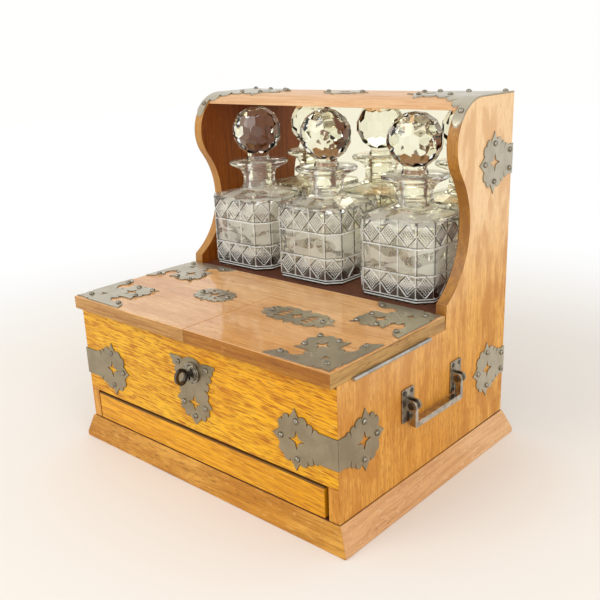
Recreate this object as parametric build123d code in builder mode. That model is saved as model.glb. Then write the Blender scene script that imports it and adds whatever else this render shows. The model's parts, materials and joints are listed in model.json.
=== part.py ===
from build123d import *
from math import asin, cos, degrees, radians, sin, sqrt
import os

# Oak tantalus: a box with a drawer in its base, two lids, and a canopied stand for three decanters.
# X runs to the right, Y to the back, Z up, in millimetres.
# The origin lies on the table under the middle of the case, without its plinth mouldings.

os.makedirs("parts", exist_ok=True)

# Case, built round its decanters
decanter_width = 87.0
decanter_gap_left = 4.0  # to the left side
decanter_gap_middle = 13.0  # between the left and the middle one
decanter_gap_right = 23.5  # between the middle and the right one
decanter_gap_end = 15.5  # to the right side
decanter_gap_front = 11.0  # behind the upright edges of the sides
decanter_gap_back = 5.0  # to the mirror
stopper_headroom = 3.4
side_thickness = 11.5
front_thickness = 11.0
front_bottom = 57.1  # lower edge of the front panel, above the drawer
box_height = 148.9  # top of the front panel and the sides, under the lids
back_thickness = 7.0
base_thickness = 8.0

# Upper part of the sides, seen from the side
upright_depth = 157.0  # from the front face to the upright edge behind the lids
kink_rise = 22.6  # above the box
kink_setback = 1.5
nose_radius = 41.0
nose_to_back = 58.0
hollow_turn = 37.8  # degrees below level where the nose meets the hollow

# Canopy, mirror and stand
canopy_thickness = 10.3
mirror_thickness = 3.0
stand_rise = 12.1  # floor of the stand above the box
stand_thickness = 8.0
stand_gap = 1.3  # dark gap behind the lids
compartment_floor_thickness = 6.0
partition_thickness = 12.0
ledge_width = 6.1
divider_thickness = 8.0

# Plinth mouldings
plinth_height = 25.3
plinth_side_reach = 10.0
plinth_front_reach = 6.0
plinth_back_reach = 8.6
plinth_edge = 4.6
plinth_top_width = 1.2

# Drawer
drawer_gap_left = 1.0
drawer_gap_right = 4.5
drawer_gap_below = 0.5
drawer_gap_above = 1.9
drawer_front_thickness = 10.0
drawer_wall = 6.0
drawer_box_depth = 240.0
drawer_box_height = 24.0
drawer_bottom_thickness = 3.0
drawer_bottom_rise = 1.5
runner_width = 14.0
runner_gap = 0.3
guide_height = 14.0

# Lids
lid_thickness = 13.5
lid_overhang = 7.7
lid_back = 156.1  # rear edge, from the front face
lid_gap = 0.4  # between the two lids
lid_round = 1.6

# Hinges
knuckle_radius = 1.6
knuckle_gap = 0.3
hinge_pin_radius = 0.9
hinge_pin_clearance = 0.05
leaf_thickness = 1.0
leaf_width = 8.5
hinge_front = 19.1  # from the front face
hinge_back = 128.8
middle_knuckle_front = 59.8
middle_knuckle_back = 87.0

# Lock and key
lock_width = 48.0
lock_depth = 11.0
lock_height = 47.0
lock_drop = 48.9  # its underside, below the top of the box
lock_wall = 1.2
key_drop = 30.9  # its axis, below the top of the box
key_shaft_radius = 1.9
key_clearance = 0.1
key_bit_radius = 5.5
key_bit_width = 1.6
key_bit_length = 5.0
key_tail = 9.0  # shaft behind the front panel
bow_width = 14.3
bow_height = 16.0
bow_bar = 3.2
bow_thickness = 2.6
bow_gap = 1.9  # in front of the boss
collar_radius = 3.0
collar_gap = 0.3
keyhole_gap = 0.6
panel_bore_radius = 3.2
boss_base_radius = 10.25
boss_base_thickness = 2.0
boss_disc_radius = 7.75
boss_disc_thickness = 1.8
staple_thickness = 2.5
staple_width = 8.0
staple_drop = 12.0
staple_x = 9.0
staple_hole_width = 5.0
staple_hole_height = 4.0
staple_foot = 2.0
bolt_thickness = 4.0
bolt_finger_height = 3.0
bolt_travel = 6.0
bolt_gap = 1.0
bolt_arm = 3.0
bolt_key_gap = 0.7
bolt_staple_gap = 0.9

# Mounts: pierced plates with domed pins
mount_thickness = 1.1
curve_gap = 0.05  # under plates bent over the canopy
strap_width = 28.4
strap_rise = 32.4  # its middle, above the drawer
strap_front_reach = 43.5  # from the corner to the star
strap_side_reach = 33.0
head_reach = 27.4
head_half_span = 29.0
star_radius = 8.5
star_waist = 3.0
strap_pin_reach = 17.5
pin_radius = 1.6
pin_height = 1.3
rear_star_setback = 34.5
rear_upper_drop = 60.8  # below the top of the case
rear_lower_rise = 27.1  # above the drawer
rear_band_pin_setback = 6.0
rear_band_pin_offset = 8.7
lid_mount_size = 72.5
canopy_mount_width = 90.0
canopy_mount_depth = 94.5
canopy_centre_half_width = 30.0
canopy_centre_depth = 48.0
canopy_centre_setback = 38.0

# Escutcheon
escutcheon_gap_below = 8.2
escutcheon_gap_above = 16.4
escutcheon_half_width = 30.5

# Ornaments on the lids
ornament_left_width = 52.0
ornament_left_x = 49.0
ornament_left_y = 77.0
ornament_right_width = 88.0
ornament_right_x = 62.5
ornament_right_y = 76.5
ornament_depth = 40.0

# Carrying handles
handle_plate_width = 18.0
handle_plate_height = 31.7
handle_plate_bottom = 82.4
handle_plate_thickness = 1.6
handle_plate_spacing = 79.0
handle_middle = 135.0  # from the front face
fork_inset = 2.0
pivot_height = 98.5
pivot_reach = 6.3
eye_radius = 5.0
cheek_thickness = 2.0
bail_thickness = 4.2
bail_width = 6.0
bail_gap = 0.3
bail_drop = 18.5
bail_bar_height = 5.6
pivot_radius = 1.5
pivot_clearance = 0.05
pivot_head_radius = 3.2
pivot_head_height = 0.9
screw_radius = 2.0
screw_height = 0.7
screw_spacing_y = 10.4
screw_spacing_z = 24.4

# Decanters
decanter_cant = 12.5
shoulder_height = 79.5
shoulder_rise = 4.5
neck_base_radius = 19.0
neck_seat = 22.5  # half width of the flat octagon the neck stands on
neck_radius = 17.5
neck_waist = 101.0
lip_radius = 33.0
lip_bottom = 112.0
lip_top = 116.6
lip_round = 1.4
bore_radius = 11.0
bore_taper = 1.0  # taper of the ground neck, on the radius
ground_length = 24.0
glass_wall = 6.5
decanter_floor = 12.0
ground_clearance = 0.08
stem_radius = 13.3
stem_height = 4.8
ball_radius = 27.2
facet_rows = 5
facets_round = 10
row_step = 32.0  # degrees between rows of facets
facet_share = 0.97  # how deep the facets are cut
foot_steps = (2.3, 6.3)
foot_inset = 0.8
cut_columns = 3  # cells across each broad face
lower_band_foot = 7.0
lower_band_top = 28.4
upper_band_foot = 54.6
upper_band_top = 76.5
ring_half_width = 1.3
ring_depth = 1.1
column_half_width = 0.9
column_depth = 0.8
corner_half_width = 1.5
corner_depth = 0.8
mitre_half_width = 0.9
mitre_depth = 0.9
cut_rim = 0.5  # how far the cuts stand out of the glass
cavity_roof = 74.0
octagon_share = 0.586  # cut corner of a regular octagon, against half its width

overrun = 5.0  # how far cuts run past the faces they open

# Places worked out from the sizes above
decanter_row = (decanter_gap_left, decanter_gap_middle, decanter_gap_right)
case_width = 3 * decanter_width + sum(decanter_row) + decanter_gap_end + 2 * side_thickness
stand_depth = decanter_gap_front + decanter_width + decanter_gap_back
case_depth = upright_depth + stand_depth + mirror_thickness + back_thickness
stand_top = box_height + stand_rise
stopper_height = stem_height + 2 * ball_radius
case_height = stand_top + lip_top + stopper_height + stopper_headroom + canopy_thickness
kink_height = box_height + kink_rise
lock_bottom = box_height - lock_drop
key_height = box_height - key_drop
strap_height = front_bottom + strap_rise
rear_upper_height = case_height - rear_upper_drop
rear_lower_height = front_bottom + rear_lower_rise
escutcheon_bottom = front_bottom + escutcheon_gap_below
escutcheon_top = box_height - escutcheon_gap_above
half_width = case_width / 2
inner_x = half_width - side_thickness
front_y = -case_depth / 2
back_y = case_depth / 2
panel_back = front_y + front_thickness
mirror_front = back_y - back_thickness - mirror_thickness
canopy_underside = case_height - canopy_thickness
nose_y = back_y - nose_to_back
nose_z = case_height - nose_radius
lid_back_y = front_y + lid_back
lid_top = box_height + lid_thickness
stand_front = lid_back_y + stand_gap
partition_front = lid_back_y - ledge_width
compartment_floor_top = front_bottom + compartment_floor_thickness
stand_underside = stand_top - stand_thickness
hinge_x = half_width + knuckle_radius + knuckle_gap
lock_top = lock_bottom + lock_height
lock_back = panel_back + lock_depth
drawer_left = -inner_x + drawer_gap_left
drawer_right = inner_x - drawer_gap_right
drawer_bottom_z = plinth_height + drawer_gap_below
drawer_top_z = front_bottom - drawer_gap_above
drawer_box_z = plinth_height + runner_gap


def box_between(x_from, x_to, y_from, y_to, z_from, z_to, mode=Mode.ADD):
    # a board or a cut between two values on each axis
    with Locations(((x_from + x_to) / 2, (y_from + y_to) / 2, (z_from + z_to) / 2)):
        Box(abs(x_to - x_from), abs(y_to - y_from), abs(z_to - z_from), mode=mode)


def finish(piece, name):
    # each piece goes to its own file
    piece.part.label = name
    export_step(piece.part, "parts/" + name + ".step")


def cusped_line(corners):
    # corners of a leafy outline: place, and the bulge of the arc to the next as a share of its chord
    for start, end in zip(corners, corners[1:]):
        if start[2]:
            along = Vector(end[0] - start[0], end[1] - start[1])
            middle = Vector(start[0], start[1]) + along / 2
            bulge = Vector(-along.Y, along.X) * start[2]
            ThreePointArc(start[:2], tuple(middle + bulge)[:2], end[:2])
        else:
            Line(start[:2], end[:2])


# Four-pointed cut-out that the mounts share
dip = star_waist / sqrt(2)
with BuildSketch(Plane.XY) as star_cutout:
    with BuildLine():
        Polyline(
            (star_radius, 0),
            (dip, dip),
            (0, star_radius),
            (-dip, dip),
            (-star_radius, 0),
            (-dip, -dip),
            (0, -star_radius),
            (dip, -dip),
            close=True,
        )
    make_face()


def corner_mitre(hand):
    # the wedge of a side that meets the front panel, from the outer corner to the inner one
    with BuildSketch(Plane.XY.offset(front_bottom)) as wedge:
        with BuildLine():
            Polyline(
                (hand * half_width, front_y),
                (hand * half_width, panel_back),
                (hand * inner_x, panel_back),
                close=True,
            )
        make_face()
    return extrude(wedge.sketch, amount=box_height - front_bottom, mode=Mode.PRIVATE)


# Sides: the whole outline of the case, mitred to the front panel, with the hinge let into the edge
inflection = (
    nose_y - nose_radius * cos(radians(hollow_turn)),
    nose_z - nose_radius * sin(radians(hollow_turn)),
)
upright_y = front_y + upright_depth
for side_name, hand in (("left_side", -1), ("right_side", 1)):
    with BuildPart() as side:
        with BuildSketch(Plane.YZ.offset(hand * inner_x)):
            with BuildLine():
                Polyline(
                    (front_y, 0),
                    (front_y, front_bottom),
                    (panel_back, front_bottom),
                    (panel_back, box_height),
                    (upright_y, box_height),
                    (upright_y + kink_setback, kink_height),
                )
                TangentArc(
                    inflection,
                    (upright_y + kink_setback, kink_height),
                    tangent=(sin(radians(hollow_turn)), -cos(radians(hollow_turn))),
                )
                CenterArc((nose_y, nose_z), nose_radius, 90, 90 + hollow_turn)
                Polyline((nose_y, case_height), (back_y, case_height), (back_y, 0), (front_y, 0))
            make_face()
        extrude(amount=hand * side_thickness)
        add(corner_mitre(hand))
        box_between(
            hand * (half_width - leaf_width),
            hand * (half_width + overrun),
            front_y + hinge_front,
            front_y + hinge_back,
            box_height - leaf_thickness,
            box_height + overrun,
            mode=Mode.SUBTRACT,
        )
    finish(side, side_name)

# Front panel, mitred at its ends, with the keyhole through it
with BuildPart() as front_panel:
    box_between(-half_width, half_width, front_y, panel_back, front_bottom, box_height)
    with BuildSketch(Plane.XZ.offset(-front_y + overrun)):
        with Locations((0, key_height)):
            Circle(panel_bore_radius)
        with Locations((0, key_height - key_bit_radius / 2)):
            Rectangle(key_bit_width + 2 * keyhole_gap, key_bit_radius + 2 * keyhole_gap)
    extrude(amount=-(front_thickness + 2 * overrun), mode=Mode.SUBTRACT)
    edge_to_round = front_panel.edges().filter_by(Axis.X).sort_by(Axis.Z)[:2].sort_by(Axis.Y)[0]
    fillet(edge_to_round, lid_round / 2)
    add([corner_mitre(-1), corner_mitre(1)], mode=Mode.SUBTRACT)
finish(front_panel, "front_panel")

with BuildPart() as back_panel:
    box_between(-inner_x, inner_x, back_y - back_thickness, back_y, 0, canopy_underside)
finish(back_panel, "back_panel")

with BuildPart() as base_board:
    box_between(-inner_x, inner_x, front_y, back_y - back_thickness, 0, base_thickness)
finish(base_board, "base_board")

# Canopy: its front edge follows the nose of the sides
canopy_edge_angle = degrees(asin((canopy_underside - nose_z) / nose_radius))
canopy_edge_y = nose_y - nose_radius * cos(radians(canopy_edge_angle))
with BuildPart() as canopy:
    with BuildSketch(Plane.YZ.offset(-inner_x)):
        with BuildLine():
            CenterArc((nose_y, nose_z), nose_radius, 90, 90 - canopy_edge_angle)
            Polyline(
                (nose_y, case_height),
                (back_y, case_height),
                (back_y, canopy_underside),
                (canopy_edge_y, canopy_underside),
            )
        make_face()
    extrude(amount=2 * inner_x)
finish(canopy, "canopy")

with BuildPart() as mirror_glass:
    box_between(-inner_x, inner_x, mirror_front, mirror_front + mirror_thickness, stand_top, canopy_underside)
finish(mirror_glass, "mirror")

with BuildPart() as decanter_floor_board:
    box_between(-inner_x, inner_x, stand_front, back_y - back_thickness, stand_underside, stand_top)
finish(decanter_floor_board, "decanter_floor")

# Rear partition: its ledge carries the lids' rear edges, its tongue the decanter floor
with BuildPart() as rear_partition:
    with BuildSketch(Plane.YZ.offset(-inner_x)):
        with BuildLine():
            Polyline(
                (partition_front, compartment_floor_top),
                (partition_front, box_height),
                (stand_front, box_height),
                (stand_front, stand_underside),
                (partition_front + partition_thickness, stand_underside),
                (partition_front + partition_thickness, compartment_floor_top),
                close=True,
            )
        make_face()
    extrude(amount=2 * inner_x)
finish(rear_partition, "rear_partition")

with BuildPart() as compartment_floor:
    box_between(
        -inner_x, inner_x, panel_back, back_y - back_thickness, front_bottom, compartment_floor_top
    )
finish(compartment_floor, "compartment_floor")

# Centre divider, cut out round the lock
with BuildPart() as centre_divider:
    box_between(
        -divider_thickness / 2,
        divider_thickness / 2,
        panel_back,
        partition_front,
        compartment_floor_top,
        box_height,
    )
    box_between(
        -divider_thickness,
        divider_thickness,
        panel_back - overrun,
        lock_back + runner_gap,
        lock_bottom - runner_gap,
        box_height + overrun,
        mode=Mode.SUBTRACT,
    )
finish(centre_divider, "centre_divider")

# Plinth mouldings, bevelled, and mitred where they meet
front_corner = (half_width, front_y)
front_tip = (half_width + plinth_side_reach, front_y - plinth_front_reach)
back_corner = (half_width, back_y)
back_tip = (half_width + plinth_side_reach, back_y + plinth_back_reach)


def plinth_section(reach, hand):
    # outline of a moulding in a plane across it, reaching out from the case
    Polyline(
        (0, 0),
        (hand * reach, 0),
        (hand * reach, plinth_edge),
        (hand * plinth_top_width, plinth_height),
        (0, plinth_height),
        close=True,
    )


def mitre(corner, tip, hand, keep_towards):
    # upright plane through a case corner and the plinth corner outside it
    along = Vector(hand * (tip[0] - corner[0]), tip[1] - corner[1], 0)
    normal = Vector(along.Y, -along.X, 0).normalized()
    if normal.dot(Vector(*keep_towards) - Vector(hand * corner[0], corner[1], 0)) < 0:
        normal = -normal
    return Plane(origin=(hand * corner[0], corner[1], 0), z_dir=normal)


for moulding_name, face_y, reach, out in (
    ("plinth_front", front_y, plinth_front_reach, -1),
    ("plinth_back", back_y, plinth_back_reach, 1),
):
    corner, tip = (front_corner, front_tip) if out < 0 else (back_corner, back_tip)
    with BuildPart() as moulding:
        with BuildSketch(Plane(origin=(0, face_y, 0), x_dir=(0, 1, 0), z_dir=(1, 0, 0))):
            with BuildLine():
                plinth_section(reach, out)
            make_face()
        extrude(amount=half_width + plinth_side_reach, both=True)
        for hand in (-1, 1):
            split(bisect_by=mitre(corner, tip, hand, (0, face_y, 0)), keep=Keep.TOP)
    finish(moulding, moulding_name)

for moulding_name, hand in (("plinth_left", -1), ("plinth_right", 1)):
    with BuildPart() as moulding:
        with BuildSketch(Plane(origin=(hand * half_width, 0, 0), x_dir=(1, 0, 0), z_dir=(0, -1, 0))):
            with BuildLine():
                plinth_section(plinth_side_reach, hand)
            make_face()
        extrude(amount=case_depth / 2 + plinth_back_reach, both=True)
        for corner, tip in ((front_corner, front_tip), (back_corner, back_tip)):
            split(bisect_by=mitre(corner, tip, hand, (hand * half_width, 0, 0)), keep=Keep.TOP)
    finish(moulding, moulding_name)

# Runners under the drawer, the rail behind the front moulding, and the guide that takes up the wide gap
with BuildPart() as drawer_runners:
    rail_back = front_y + runner_width
    box_between(-inner_x, inner_x, front_y, rail_back, base_thickness, plinth_height)
    for hand in (-1, 1):
        box_between(
            hand * (inner_x - runner_width),
            hand * inner_x,
            rail_back,
            back_y - back_thickness,
            base_thickness,
            plinth_height,
        )
    box_between(
        drawer_right + runner_gap,
        inner_x,
        rail_back,
        back_y - back_thickness,
        plinth_height,
        plinth_height + guide_height,
    )
finish(drawer_runners, "drawer_runners")

# Drawer: a plain front flush with the case, and a box behind it
with BuildPart() as drawer_front:
    box_between(
        drawer_left,
        drawer_right,
        front_y,
        front_y + drawer_front_thickness,
        drawer_bottom_z,
        drawer_top_z,
    )
    fillet(drawer_front.edges().filter_by(Axis.X).group_by(Axis.Y)[0], lid_round / 2)
finish(drawer_front, "drawer_front")

drawer_box_front = front_y + drawer_front_thickness
drawer_box_back = drawer_box_front + drawer_box_depth
with BuildPart() as drawer_sides:
    for x_from in (drawer_left, drawer_right - drawer_wall):
        x_to = x_from + drawer_wall
        box_between(
            x_from,
            x_to,
            drawer_box_front,
            drawer_box_back,
            drawer_box_z,
            drawer_box_z + drawer_box_height,
        )
finish(drawer_sides, "drawer_sides")

with BuildPart() as drawer_back:
    box_between(
        drawer_left + drawer_wall,
        drawer_right - drawer_wall,
        drawer_box_back - drawer_wall,
        drawer_box_back,
        drawer_box_z,
        drawer_box_z + drawer_box_height,
    )
finish(drawer_back, "drawer_back")

with BuildPart() as drawer_bottom:
    box_between(
        drawer_left + drawer_wall,
        drawer_right - drawer_wall,
        drawer_box_front,
        drawer_box_back - drawer_wall,
        drawer_box_z + drawer_bottom_rise,
        drawer_box_z + drawer_bottom_rise + drawer_bottom_thickness,
    )
finish(drawer_bottom, "drawer_bottom")

# Lids: meet at the middle, flush with the sides, lipping over the front panel
lid_front_y = front_y - lid_overhang
for lid_name, hand in (("lid_left", -1), ("lid_right", 1)):
    with BuildPart() as lid:
        box_between(
            hand * lid_gap / 2, hand * half_width, lid_front_y, lid_back_y, box_height, lid_top
        )
        lower_front = lid.edges().filter_by(Axis.X).group_by(Axis.Z)[0].sort_by(Axis.Y)[0]
        fillet(lower_front, lid_round)
        fillet(lid.edges().group_by(Axis.Z)[-1], lid_round / 2)
        box_between(
            hand * (half_width - leaf_width),
            hand * (half_width + overrun),
            front_y + hinge_front,
            front_y + hinge_back,
            box_height - overrun,
            box_height + leaf_thickness,
            mode=Mode.SUBTRACT,
        )
    finish(lid, lid_name)

# Hinges: the case leaf carries the end knuckles, the lid leaf the middle one
hinge_cuts = (
    front_y + hinge_front,
    front_y + middle_knuckle_front,
    front_y + middle_knuckle_back,
    front_y + hinge_back,
)


def knuckle(hand, y_from, y_to, leaf_side):
    # a barrel on the hinge axis and the strip that joins it to its leaf
    with BuildSketch(Plane.XZ.offset(-y_from)) as section:
        with Locations((hand * hinge_x, box_height)):
            Circle(knuckle_radius)
        with Locations((hand * (half_width + hinge_x) / 2, box_height + leaf_side * leaf_thickness / 2)):
            Rectangle(hinge_x - half_width, leaf_thickness)
        with Locations((hand * hinge_x, box_height)):
            Circle(hinge_pin_radius + hinge_pin_clearance, mode=Mode.SUBTRACT)
    extrude(section.sketch, amount=-(y_to - y_from))


for side_word, hand in (("left", -1), ("right", 1)):
    with BuildPart() as leaf_case:
        box_between(
            hand * (half_width - leaf_width),
            hand * half_width,
            hinge_cuts[0],
            hinge_cuts[3],
            box_height - leaf_thickness,
            box_height,
        )
        knuckle(hand, hinge_cuts[0], hinge_cuts[1], -1)
        knuckle(hand, hinge_cuts[2], hinge_cuts[3], -1)
    finish(leaf_case, "hinge_leaf_case_" + side_word)
    with BuildPart() as leaf_lid:
        box_between(
            hand * (half_width - leaf_width),
            hand * half_width,
            hinge_cuts[0],
            hinge_cuts[3],
            box_height,
            box_height + leaf_thickness,
        )
        knuckle(hand, hinge_cuts[1] + knuckle_gap, hinge_cuts[2] - knuckle_gap, 1)
    finish(leaf_lid, "hinge_leaf_lid_" + side_word)

with BuildPart() as hinge_pins:
    for hand in (-1, 1):
        with BuildSketch(Plane.XZ.offset(-hinge_cuts[0])):
            with Locations((hand * hinge_x, box_height)):
                Circle(hinge_pin_radius)
        extrude(amount=-(hinge_back - hinge_front))
finish(hinge_pins, "hinge_pins")

# Lock: a case behind the front panel, open towards it, with two slots in its top for the staples
key_back = panel_back + key_tail
with BuildPart() as lock_case:
    box_between(-lock_width / 2, lock_width / 2, panel_back, lock_back, lock_bottom, lock_top)
    box_between(
        -lock_width / 2 + lock_wall,
        lock_width / 2 - lock_wall,
        panel_back - overrun,
        lock_back - lock_wall,
        lock_bottom + lock_wall,
        lock_top - lock_wall,
        mode=Mode.SUBTRACT,
    )
    for hand in (-1, 1):
        box_between(
            hand * staple_x - staple_thickness / 2 - bolt_gap,
            hand * staple_x + staple_thickness / 2 + bolt_gap,
            panel_back - overrun,
            lock_back - lock_wall,
            lock_top - lock_wall - overrun,
            lock_top + overrun,
            mode=Mode.SUBTRACT,
        )
finish(lock_case, "lock_case")

# Staples: a foot plate under each lid and an eye that drops into the lock
staple_bottom = box_height - staple_drop
staple_y = panel_back + (lock_depth - lock_wall) / 2
staple_hole_z = staple_bottom + staple_foot + staple_hole_height / 2
for side_word, hand in (("left", -1), ("right", 1)):
    with BuildPart() as staple:
        box_between(
            hand * staple_x - staple_thickness / 2,
            hand * staple_x + staple_thickness / 2,
            staple_y - staple_width / 2,
            staple_y + staple_width / 2,
            staple_bottom,
            box_height,
        )
        box_between(
            hand * staple_x - staple_thickness,
            hand * staple_x + staple_thickness,
            staple_y - staple_hole_width / 2,
            staple_y + staple_hole_width / 2,
            staple_hole_z - staple_hole_height / 2,
            staple_hole_z + staple_hole_height / 2,
            mode=Mode.SUBTRACT,
        )
        foot_edges = staple.edges().filter_by(Axis.X).group_by(Axis.Z)[0]
        chamfer(foot_edges, staple_foot / 2)
    finish(staple, "staple_" + side_word)

# Bolt: a bar across the lock with two arms, each with a finger that slides through a staple
bolt_bottom = key_height + key_bit_radius + bolt_key_gap
bolt_bar_top = staple_bottom - bolt_staple_gap
finger_top = staple_hole_z + bolt_finger_height / 2
finger_bottom = staple_hole_z - bolt_finger_height / 2
with BuildPart() as lock_bolt:
    arm_ends = []
    for hand in (-1, 1):
        finger_tip = hand * staple_x - staple_thickness / 2 - bolt_gap
        arm_end = finger_tip - bolt_travel + bolt_gap / 4
        arm_ends.append(arm_end)
        box_between(
            arm_end - bolt_arm,
            arm_end,
            staple_y - bolt_thickness / 2,
            staple_y + bolt_thickness / 2,
            bolt_bottom,
            finger_top,
        )
        box_between(
            arm_end - bolt_arm,
            finger_tip,
            staple_y - bolt_thickness / 2,
            staple_y + bolt_thickness / 2,
            finger_bottom,
            finger_top,
        )
    box_between(
        arm_ends[0] - bolt_arm,
        arm_ends[1],
        staple_y - bolt_thickness / 2,
        staple_y + bolt_thickness / 2,
        bolt_bottom,
        bolt_bar_top,
    )
finish(lock_bolt, "lock_bolt")

# Escutcheon: scrolled plate with a star cut-out below the keyhole
escutcheon_half_shares = (
    (0.0, 1.0, 0.1),
    (0.39, 0.94, 0.08),
    (0.74, 0.965, 0.0),
    (1.0, 0.965, 0.2),
    (0.866, 0.885, 0.0),
    (0.90, 0.872, 0.15),
    (0.85, 0.818, 0.0),
    (0.74, 0.812, 0.0),
    (0.80, 0.79, 0.28),
    (0.72, 0.70, 0.0),
    (0.60, 0.70, 0.0),
    (0.66, 0.68, 0.28),
    (0.62, 0.575, 0.0),
    (0.48, 0.585, 0.0),
    (0.56, 0.56, 0.25),
    (0.60, 0.435, 0.0),
    (0.80, 0.33, 0.0),
    (0.60, 0.295, 0.0),
    (0.63, 0.27, 0.2),
    (0.58, 0.178, 0.0),
    (0.46, 0.20, 0.0),
    (0.49, 0.155, 0.22),
    (0.32, 0.095, 0.0),
    (0.27, 0.135, 0.0),
    (0.22, 0.10, 0.0),
    (0.0, 0.0, 0.0),
)
escutcheon_height = escutcheon_top - escutcheon_bottom
star_drop_share = 0.327
with BuildPart() as escutcheon:
    with BuildSketch(Plane.XZ.offset(-front_y)) as plate:
        with BuildLine():
            for hand in (1, -1):
                cusped_line(
                    [
                        (
                            hand * x * escutcheon_half_width,
                            escutcheon_bottom + z * escutcheon_height,
                            hand * bulge,
                        )
                        for x, z, bulge in escutcheon_half_shares
                    ]
                )
        make_face()
        with Locations((0, key_height)):
            Circle(panel_bore_radius, mode=Mode.SUBTRACT)
        with Locations((0, key_height - key_bit_radius / 2)):
            Rectangle(
                key_bit_width + 2 * keyhole_gap, key_bit_radius + 2 * keyhole_gap, mode=Mode.SUBTRACT
            )
        with Locations((0, escutcheon_bottom + star_drop_share * escutcheon_height)):
            add(star_cutout.sketch, mode=Mode.SUBTRACT)
    extrude(amount=mount_thickness)
finish(escutcheon, "escutcheon")

# Stepped boss round the key
boss_front = front_y - mount_thickness - boss_base_thickness - boss_disc_thickness
with BuildPart() as keyhole_boss:
    with BuildSketch(Plane.XZ.offset(-front_y + mount_thickness)):
        with Locations((0, key_height)):
            Circle(boss_base_radius)
    extrude(amount=boss_base_thickness)
    with BuildSketch(Plane.XZ.offset(-front_y + mount_thickness + boss_base_thickness)):
        with Locations((0, key_height)):
            Circle(boss_disc_radius)
    extrude(amount=boss_disc_thickness)
    with BuildSketch(Plane.XZ.offset(-boss_front + overrun)):
        with Locations((0, key_height)):
            Circle(key_shaft_radius + key_clearance)
        with Locations((0, key_height - key_bit_radius / 2)):
            Rectangle(key_bit_width + 2 * keyhole_gap, key_bit_radius + 2 * keyhole_gap)
    extrude(amount=-(boss_base_thickness + boss_disc_thickness + 2 * overrun), mode=Mode.SUBTRACT)
finish(keyhole_boss, "keyhole_boss")

# Key: turned shaft and collar, flat bow with an oval eye, bit inside the lock
collar_back = boss_front - collar_gap
bow_back = boss_front - bow_gap
bit_front = staple_y - key_bit_length / 2
with BuildPart() as key:
    with BuildSketch(Plane.XZ.offset(-bow_back + bow_bar / 2)):
        with Locations((0, key_height)):
            Circle(key_shaft_radius)
    extrude(amount=-(key_back - bow_back + bow_bar / 2))
    with BuildSketch(Plane.XZ.offset(-bow_back)):
        with Locations((0, key_height)):
            Circle(collar_radius)
    extrude(amount=-(collar_back - bow_back))
    with BuildSketch(Plane.YZ):
        with Locations((bow_back - bow_width / 2, key_height)):
            Ellipse(bow_width / 2, bow_height / 2)
            Ellipse(bow_width / 2 - bow_bar, bow_height / 2 - bow_bar, mode=Mode.SUBTRACT)
    extrude(amount=bow_thickness / 2, both=True)
    box_between(
        -key_bit_width / 2,
        key_bit_width / 2,
        bit_front,
        bit_front + key_bit_length,
        key_height - key_bit_radius,
        key_height,
    )
finish(key, "key")

# Head of a strap: stepped lobes, side tips, and a pointed end beyond the star
head_half_shares = (
    (1.0, 0.0, 0.04),
    (0.69, 0.25, 0.0),
    (0.735, 0.32, -0.2),
    (0.61, 0.575, 0.0),
    (0.56, 0.54, 0.0),
    (0.55, 0.625, -0.22),
    (0.30, 0.735, 0.0),
    (0.29, 0.65, 0.0),
    (0.25, 0.72, 0.04),
    (0.05, 1.0, 0.04),
    (-0.12, 0.72, 0.0),
    (-0.15, 0.765, -0.22),
    (-0.44, 0.66, 0.0),
    (-0.43, 0.56, 0.0),
    (-0.48, 0.64, -0.25),
    (-0.665, 0.53, 0.0),
    (-0.63, 0.39, 0.0),
    (-0.70, 0.53, -0.25),
)
neck_share = 0.87  # where the lobes end and the band begins


def strap_leg(plane, band_reach):
    # star at the local origin, head towards local X, plain band back to its end
    upper = [(x * head_reach, y * head_half_span, bulge) for x, y, bulge in head_half_shares]
    upper.append((-neck_share * head_reach, strap_width / 2, 0))
    upper.append((-band_reach, strap_width / 2, 0))
    with BuildSketch(plane) as leg:
        with BuildLine():
            cusped_line(upper)
            cusped_line([(x, -y, -bulge) for x, y, bulge in upper])
            Line((-band_reach, strap_width / 2), (-band_reach, -strap_width / 2))
        make_face()
        add(star_cutout.sketch, mode=Mode.SUBTRACT)
    return leg.sketch


pin_places = []


def pins_on(plane, places):
    # pins stand on the plate that lies on this plane
    for u, v in places:
        spot = plane.from_local_coords((u, v, mount_thickness))
        pin_places.append(Plane(origin=spot, x_dir=plane.x_dir, z_dir=plane.z_dir))


strap_pins = ((strap_pin_reach, 0), (0, strap_pin_reach), (0, -strap_pin_reach))
band_pin_u = rear_band_pin_setback - rear_star_setback
rear_strap_pins = strap_pins + ((band_pin_u, rear_band_pin_offset), (band_pin_u, -rear_band_pin_offset))
for side_word, hand in (("left", -1), ("right", 1)):
    front_plane = Plane(
        origin=(hand * (half_width - strap_front_reach), front_y, strap_height),
        x_dir=(-hand, 0, 0),
        z_dir=(0, -1, 0),
    )
    side_plane = Plane(
        origin=(hand * half_width, front_y + strap_side_reach, strap_height),
        x_dir=(0, 1, 0),
        z_dir=(hand, 0, 0),
    )
    with BuildPart() as front_strap:
        extrude(strap_leg(front_plane, strap_front_reach + mount_thickness), amount=mount_thickness)
        extrude(strap_leg(side_plane, strap_side_reach), amount=mount_thickness)
    finish(front_strap, "front_strap_" + side_word)
    pins_on(front_plane, strap_pins)
    pins_on(side_plane, strap_pins)
    with BuildPart() as rear_straps:
        for star_height in (rear_upper_height, rear_lower_height):
            rear_plane = Plane(
                origin=(hand * half_width, back_y - rear_star_setback, star_height),
                x_dir=(0, -1, 0),
                z_dir=(hand, 0, 0),
            )
            extrude(strap_leg(rear_plane, rear_star_setback), amount=mount_thickness)
            pins_on(rear_plane, rear_strap_pins)
    finish(rear_straps, "rear_straps_" + side_word)

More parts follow.
